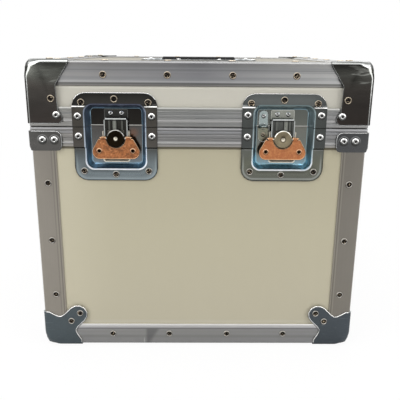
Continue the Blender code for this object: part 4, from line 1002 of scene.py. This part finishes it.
# Rivets of the lid's top, from the case's middle
edging_row, cap_spot = right - 0.019, right - 0.026
for side in (-1, 1):
    for run in pitches:
        lid_old.append((Vector((side * edging_row, middle + run, top - edging_top)), upward))
        lid_old.append((Vector((run, middle + side * edging_row, top - edging_top)), upward))
    for end in (-1, 1):
        lid_old.append((Vector((side * cap_spot, middle + end * cap_spot, top)), upward))

# Rivets round a latch, from its middle and from the seam
upper_flange = ((-0.041, 0.0296), (0.041, 0.0296), (-0.0005, 0.0338))
lower_flange = ((-0.0405, -0.056), (0.0405, -0.056), (-0.0008, -0.060))
rail_run, rail_under = 0.0452, -0.0115
for centre_x, rail_over in ((-latch_x, 0.0130), (latch_x, 0.0153)):
    for x, height in upper_flange:
        lid_old.append(ahead_of(centre_x + x, front + flange_face, height))
    for x, height in lower_flange:
        base_old.append(ahead_of(centre_x + x, front + flange_face, height))
    for x in (-rail_run, rail_run):
        lid_bright.append(ahead_of(centre_x + x, front, rail_over))
        base_bright.append(ahead_of(centre_x + x, front, rail_under))

old_head = hollow_head(0.0045, 0.0013, 0.0030)
rivet_set("lid_edge_rivets", "lid", old_rivet, lid_old, old_head)
rivet_set("base_edge_rivets", "base", grey_rivet, base_old, old_head)
bright_head = dome(0.0049, 0.0026, 0.0015)
rivet_set("lid_bright_rivets", "lid", bright_rivet, lid_bright, bright_head, sides=24)
rivet_set("base_bright_rivets", "base", bright_rivet, base_bright, bright_head, sides=24)

keeper_run, keeper_height = 0.0068, 0.0154
lug_over, lug_under = 0.0132, -0.0099
keeper_spots = [ahead_of(centre_x + x, keeper_face, keeper_height)
                for centre_x in (-latch_x, latch_x) for x in (-keeper_run, keeper_run)]
keeper_spots.append(ahead_of(lug_x, keeper_face, lug_over))
small_head = dome(0.0031, 0.0012, 0.0009)
rivet_set("keeper_rivets", "lid", bright_rivet, keeper_spots, small_head, sides=16)
rivet_set("lower_lug_rivet", "base", old_rivet, [ahead_of(lug_x, keeper_face, lug_under)], small_head,
          sides=16)

leaf_face, backward = back + 0.0006, Vector((0, 1, 0))
leaf_head = dome(0.0033, 0.0014, 0.0010)
for body, over in (("lid", 1), ("base", -1)):
    leaf_spots = [(Vector((centre_x + x, leaf_face, seam + over * height)), backward)
                  for centre_x in (-hinge_x, hinge_x) for x in (-0.019, 0.019)
                  for height in (0.007, 0.0175)]
    rivet_set(f"{body}_leaf_rivets", body, bright_rivet, leaf_spots, leaf_head, sides=16)

tub_low, tub_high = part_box("handle_dish")
tub_x, tub_y = tub_high[0], (tub_high[1] - tub_low[1]) / 2
tub_spots = ((tub_x - 0.0065, tub_y - 0.0065), (0.030, tub_y - 0.005))
handle_spots = [(Vector((side * x, middle + end * y, tub_high[2])), upward)
                for side in (-1, 1) for end in (-1, 1) for x, y in tub_spots]
rivet_set("handle_rivets", "lid", bright_rivet, handle_spots, dome(0.0031, 0.0012, 0.0010),
          sides=16)


# The photograph's camera: its lens, its place from the case's front and seam, and its turn
picture_width, focal_length, sensor_width = 400, 532.335, 36
camera_x, camera_away, camera_over = -0.00773, 0.65782, 0.09274
yaw, pitch, roll = math.radians(0.783), math.radians(15.783), math.radians(0.494)
ahead = Vector((math.sin(yaw) * math.cos(pitch), math.cos(yaw) * math.cos(pitch), -math.sin(pitch)))
level_right = Vector((math.cos(yaw), -math.sin(yaw), 0))
level_up = level_right.cross(ahead)
view_right = math.cos(roll) * level_right + math.sin(roll) * level_up
view_up = -math.sin(roll) * level_right + math.cos(roll) * level_up
camera_data = bpy.data.cameras.new("photo_camera")
camera_data.sensor_width = sensor_width
camera_data.lens = sensor_width * focal_length / picture_width
camera_data.clip_start = 0.01
camera = new_object("photo_camera", camera_data)
camera_turn = Matrix((view_right, view_up, -ahead)).transposed().to_4x4()
camera_place = (camera_x, front + edging_face - camera_away, seam + camera_over)
camera.matrix_world = Matrix.Translation(camera_place) @ camera_turn
bpy.context.scene.camera = camera


# Light, world and floor


def soft_light(name, place, aim, size, watts):
    """A white lamp as wide and high as its size, turned to what it aims at."""
    data = bpy.data.lights.new(name, "AREA")
    data.shape = "RECTANGLE"
    data.size, data.size_y = size
    data.energy = watts
    lamp = new_object(name, data)
    lamp.location = place
    lamp.rotation_euler = (Vector(aim) - Vector(place)).to_track_quat("-Z", "Y").to_euler()


soft_light("ceiling_light", (-0.2, -0.5, 1.7), (0, -0.1, 0.2), (1.6, 1.2), 10)
soft_light("left_light", (-1.3, -1.2, 1.0), (0, 0, 0.25), (0.9, 1.2), 10)
soft_light("right_light", (1.4, -1.0, 0.9), (0, 0, 0.25), (0.9, 1.2), 8)
soft_light("back_light", (0.3, 1.6, 1.3), (0, 0, 0.3), (1.6, 0.8), 8)

room = Finish("studio", world=True)
seen = room.node("LightPath", out="Is Camera Ray")
through = room.node("LightPath", out="Is Transmission Ray")
mirrored = room.node("LightPath", out="Is Glossy Ray").at_least(through)
_, direction_y, direction_z = room.split(room.node("TexCoord", out="Generated"))
before = (0.15 - direction_y).between(0.0, 0.6)
band = direction_z.between(0.02, 0.22) * (1.0 - direction_z.between(0.35, 0.75))
open_room = room.mix(mirrored, (0.80, 0.80, 0.80), (1.0, 1.0, 1.0))
lit_room = room.mix(before * band, open_room, (0.16, 0.155, 0.15))
background = room.node("Background", None, room.mix(seen, lit_room, (1.0, 1.0, 1.0)), 1.0)
room.node("OutputWorld", None, background)
bpy.context.scene.world = room.made

floor_reach, floor_drop = 12, 0.0002
ground = Finish("pale_floor")
camera_ray = ground.node("LightPath", out="Is Camera Ray")
floor_x, floor_y, _ = ground.axes()
far = ((floor_x ** 2.0 + floor_y ** 2.0) ** 0.5).between(0.5, 1.6)
matt = ground.node("BsdfDiffuse", None, (0.92, 0.92, 0.92))
glow = ground.node("Emission", None, (1.0, 1.0, 1.0), 1.0)
paled = ground.node("MixShader", None, camera_ray * (0.93 + 0.07 * far), matt, glow)
ground.node("OutputMaterial", None, paled)
bm = bmesh.new()
bmesh.ops.create_grid(bm, x_segments=1, y_segments=1, size=floor_reach)
floor_mesh = bpy.data.meshes.new("studio_floor")
bm.to_mesh(floor_mesh)
bm.free()
floor_mesh.materials.append(ground.made)
floor = new_object("studio_floor", floor_mesh)
floor.location.z = -floor_drop

bpy.context.scene.view_settings.view_transform = "Standard"
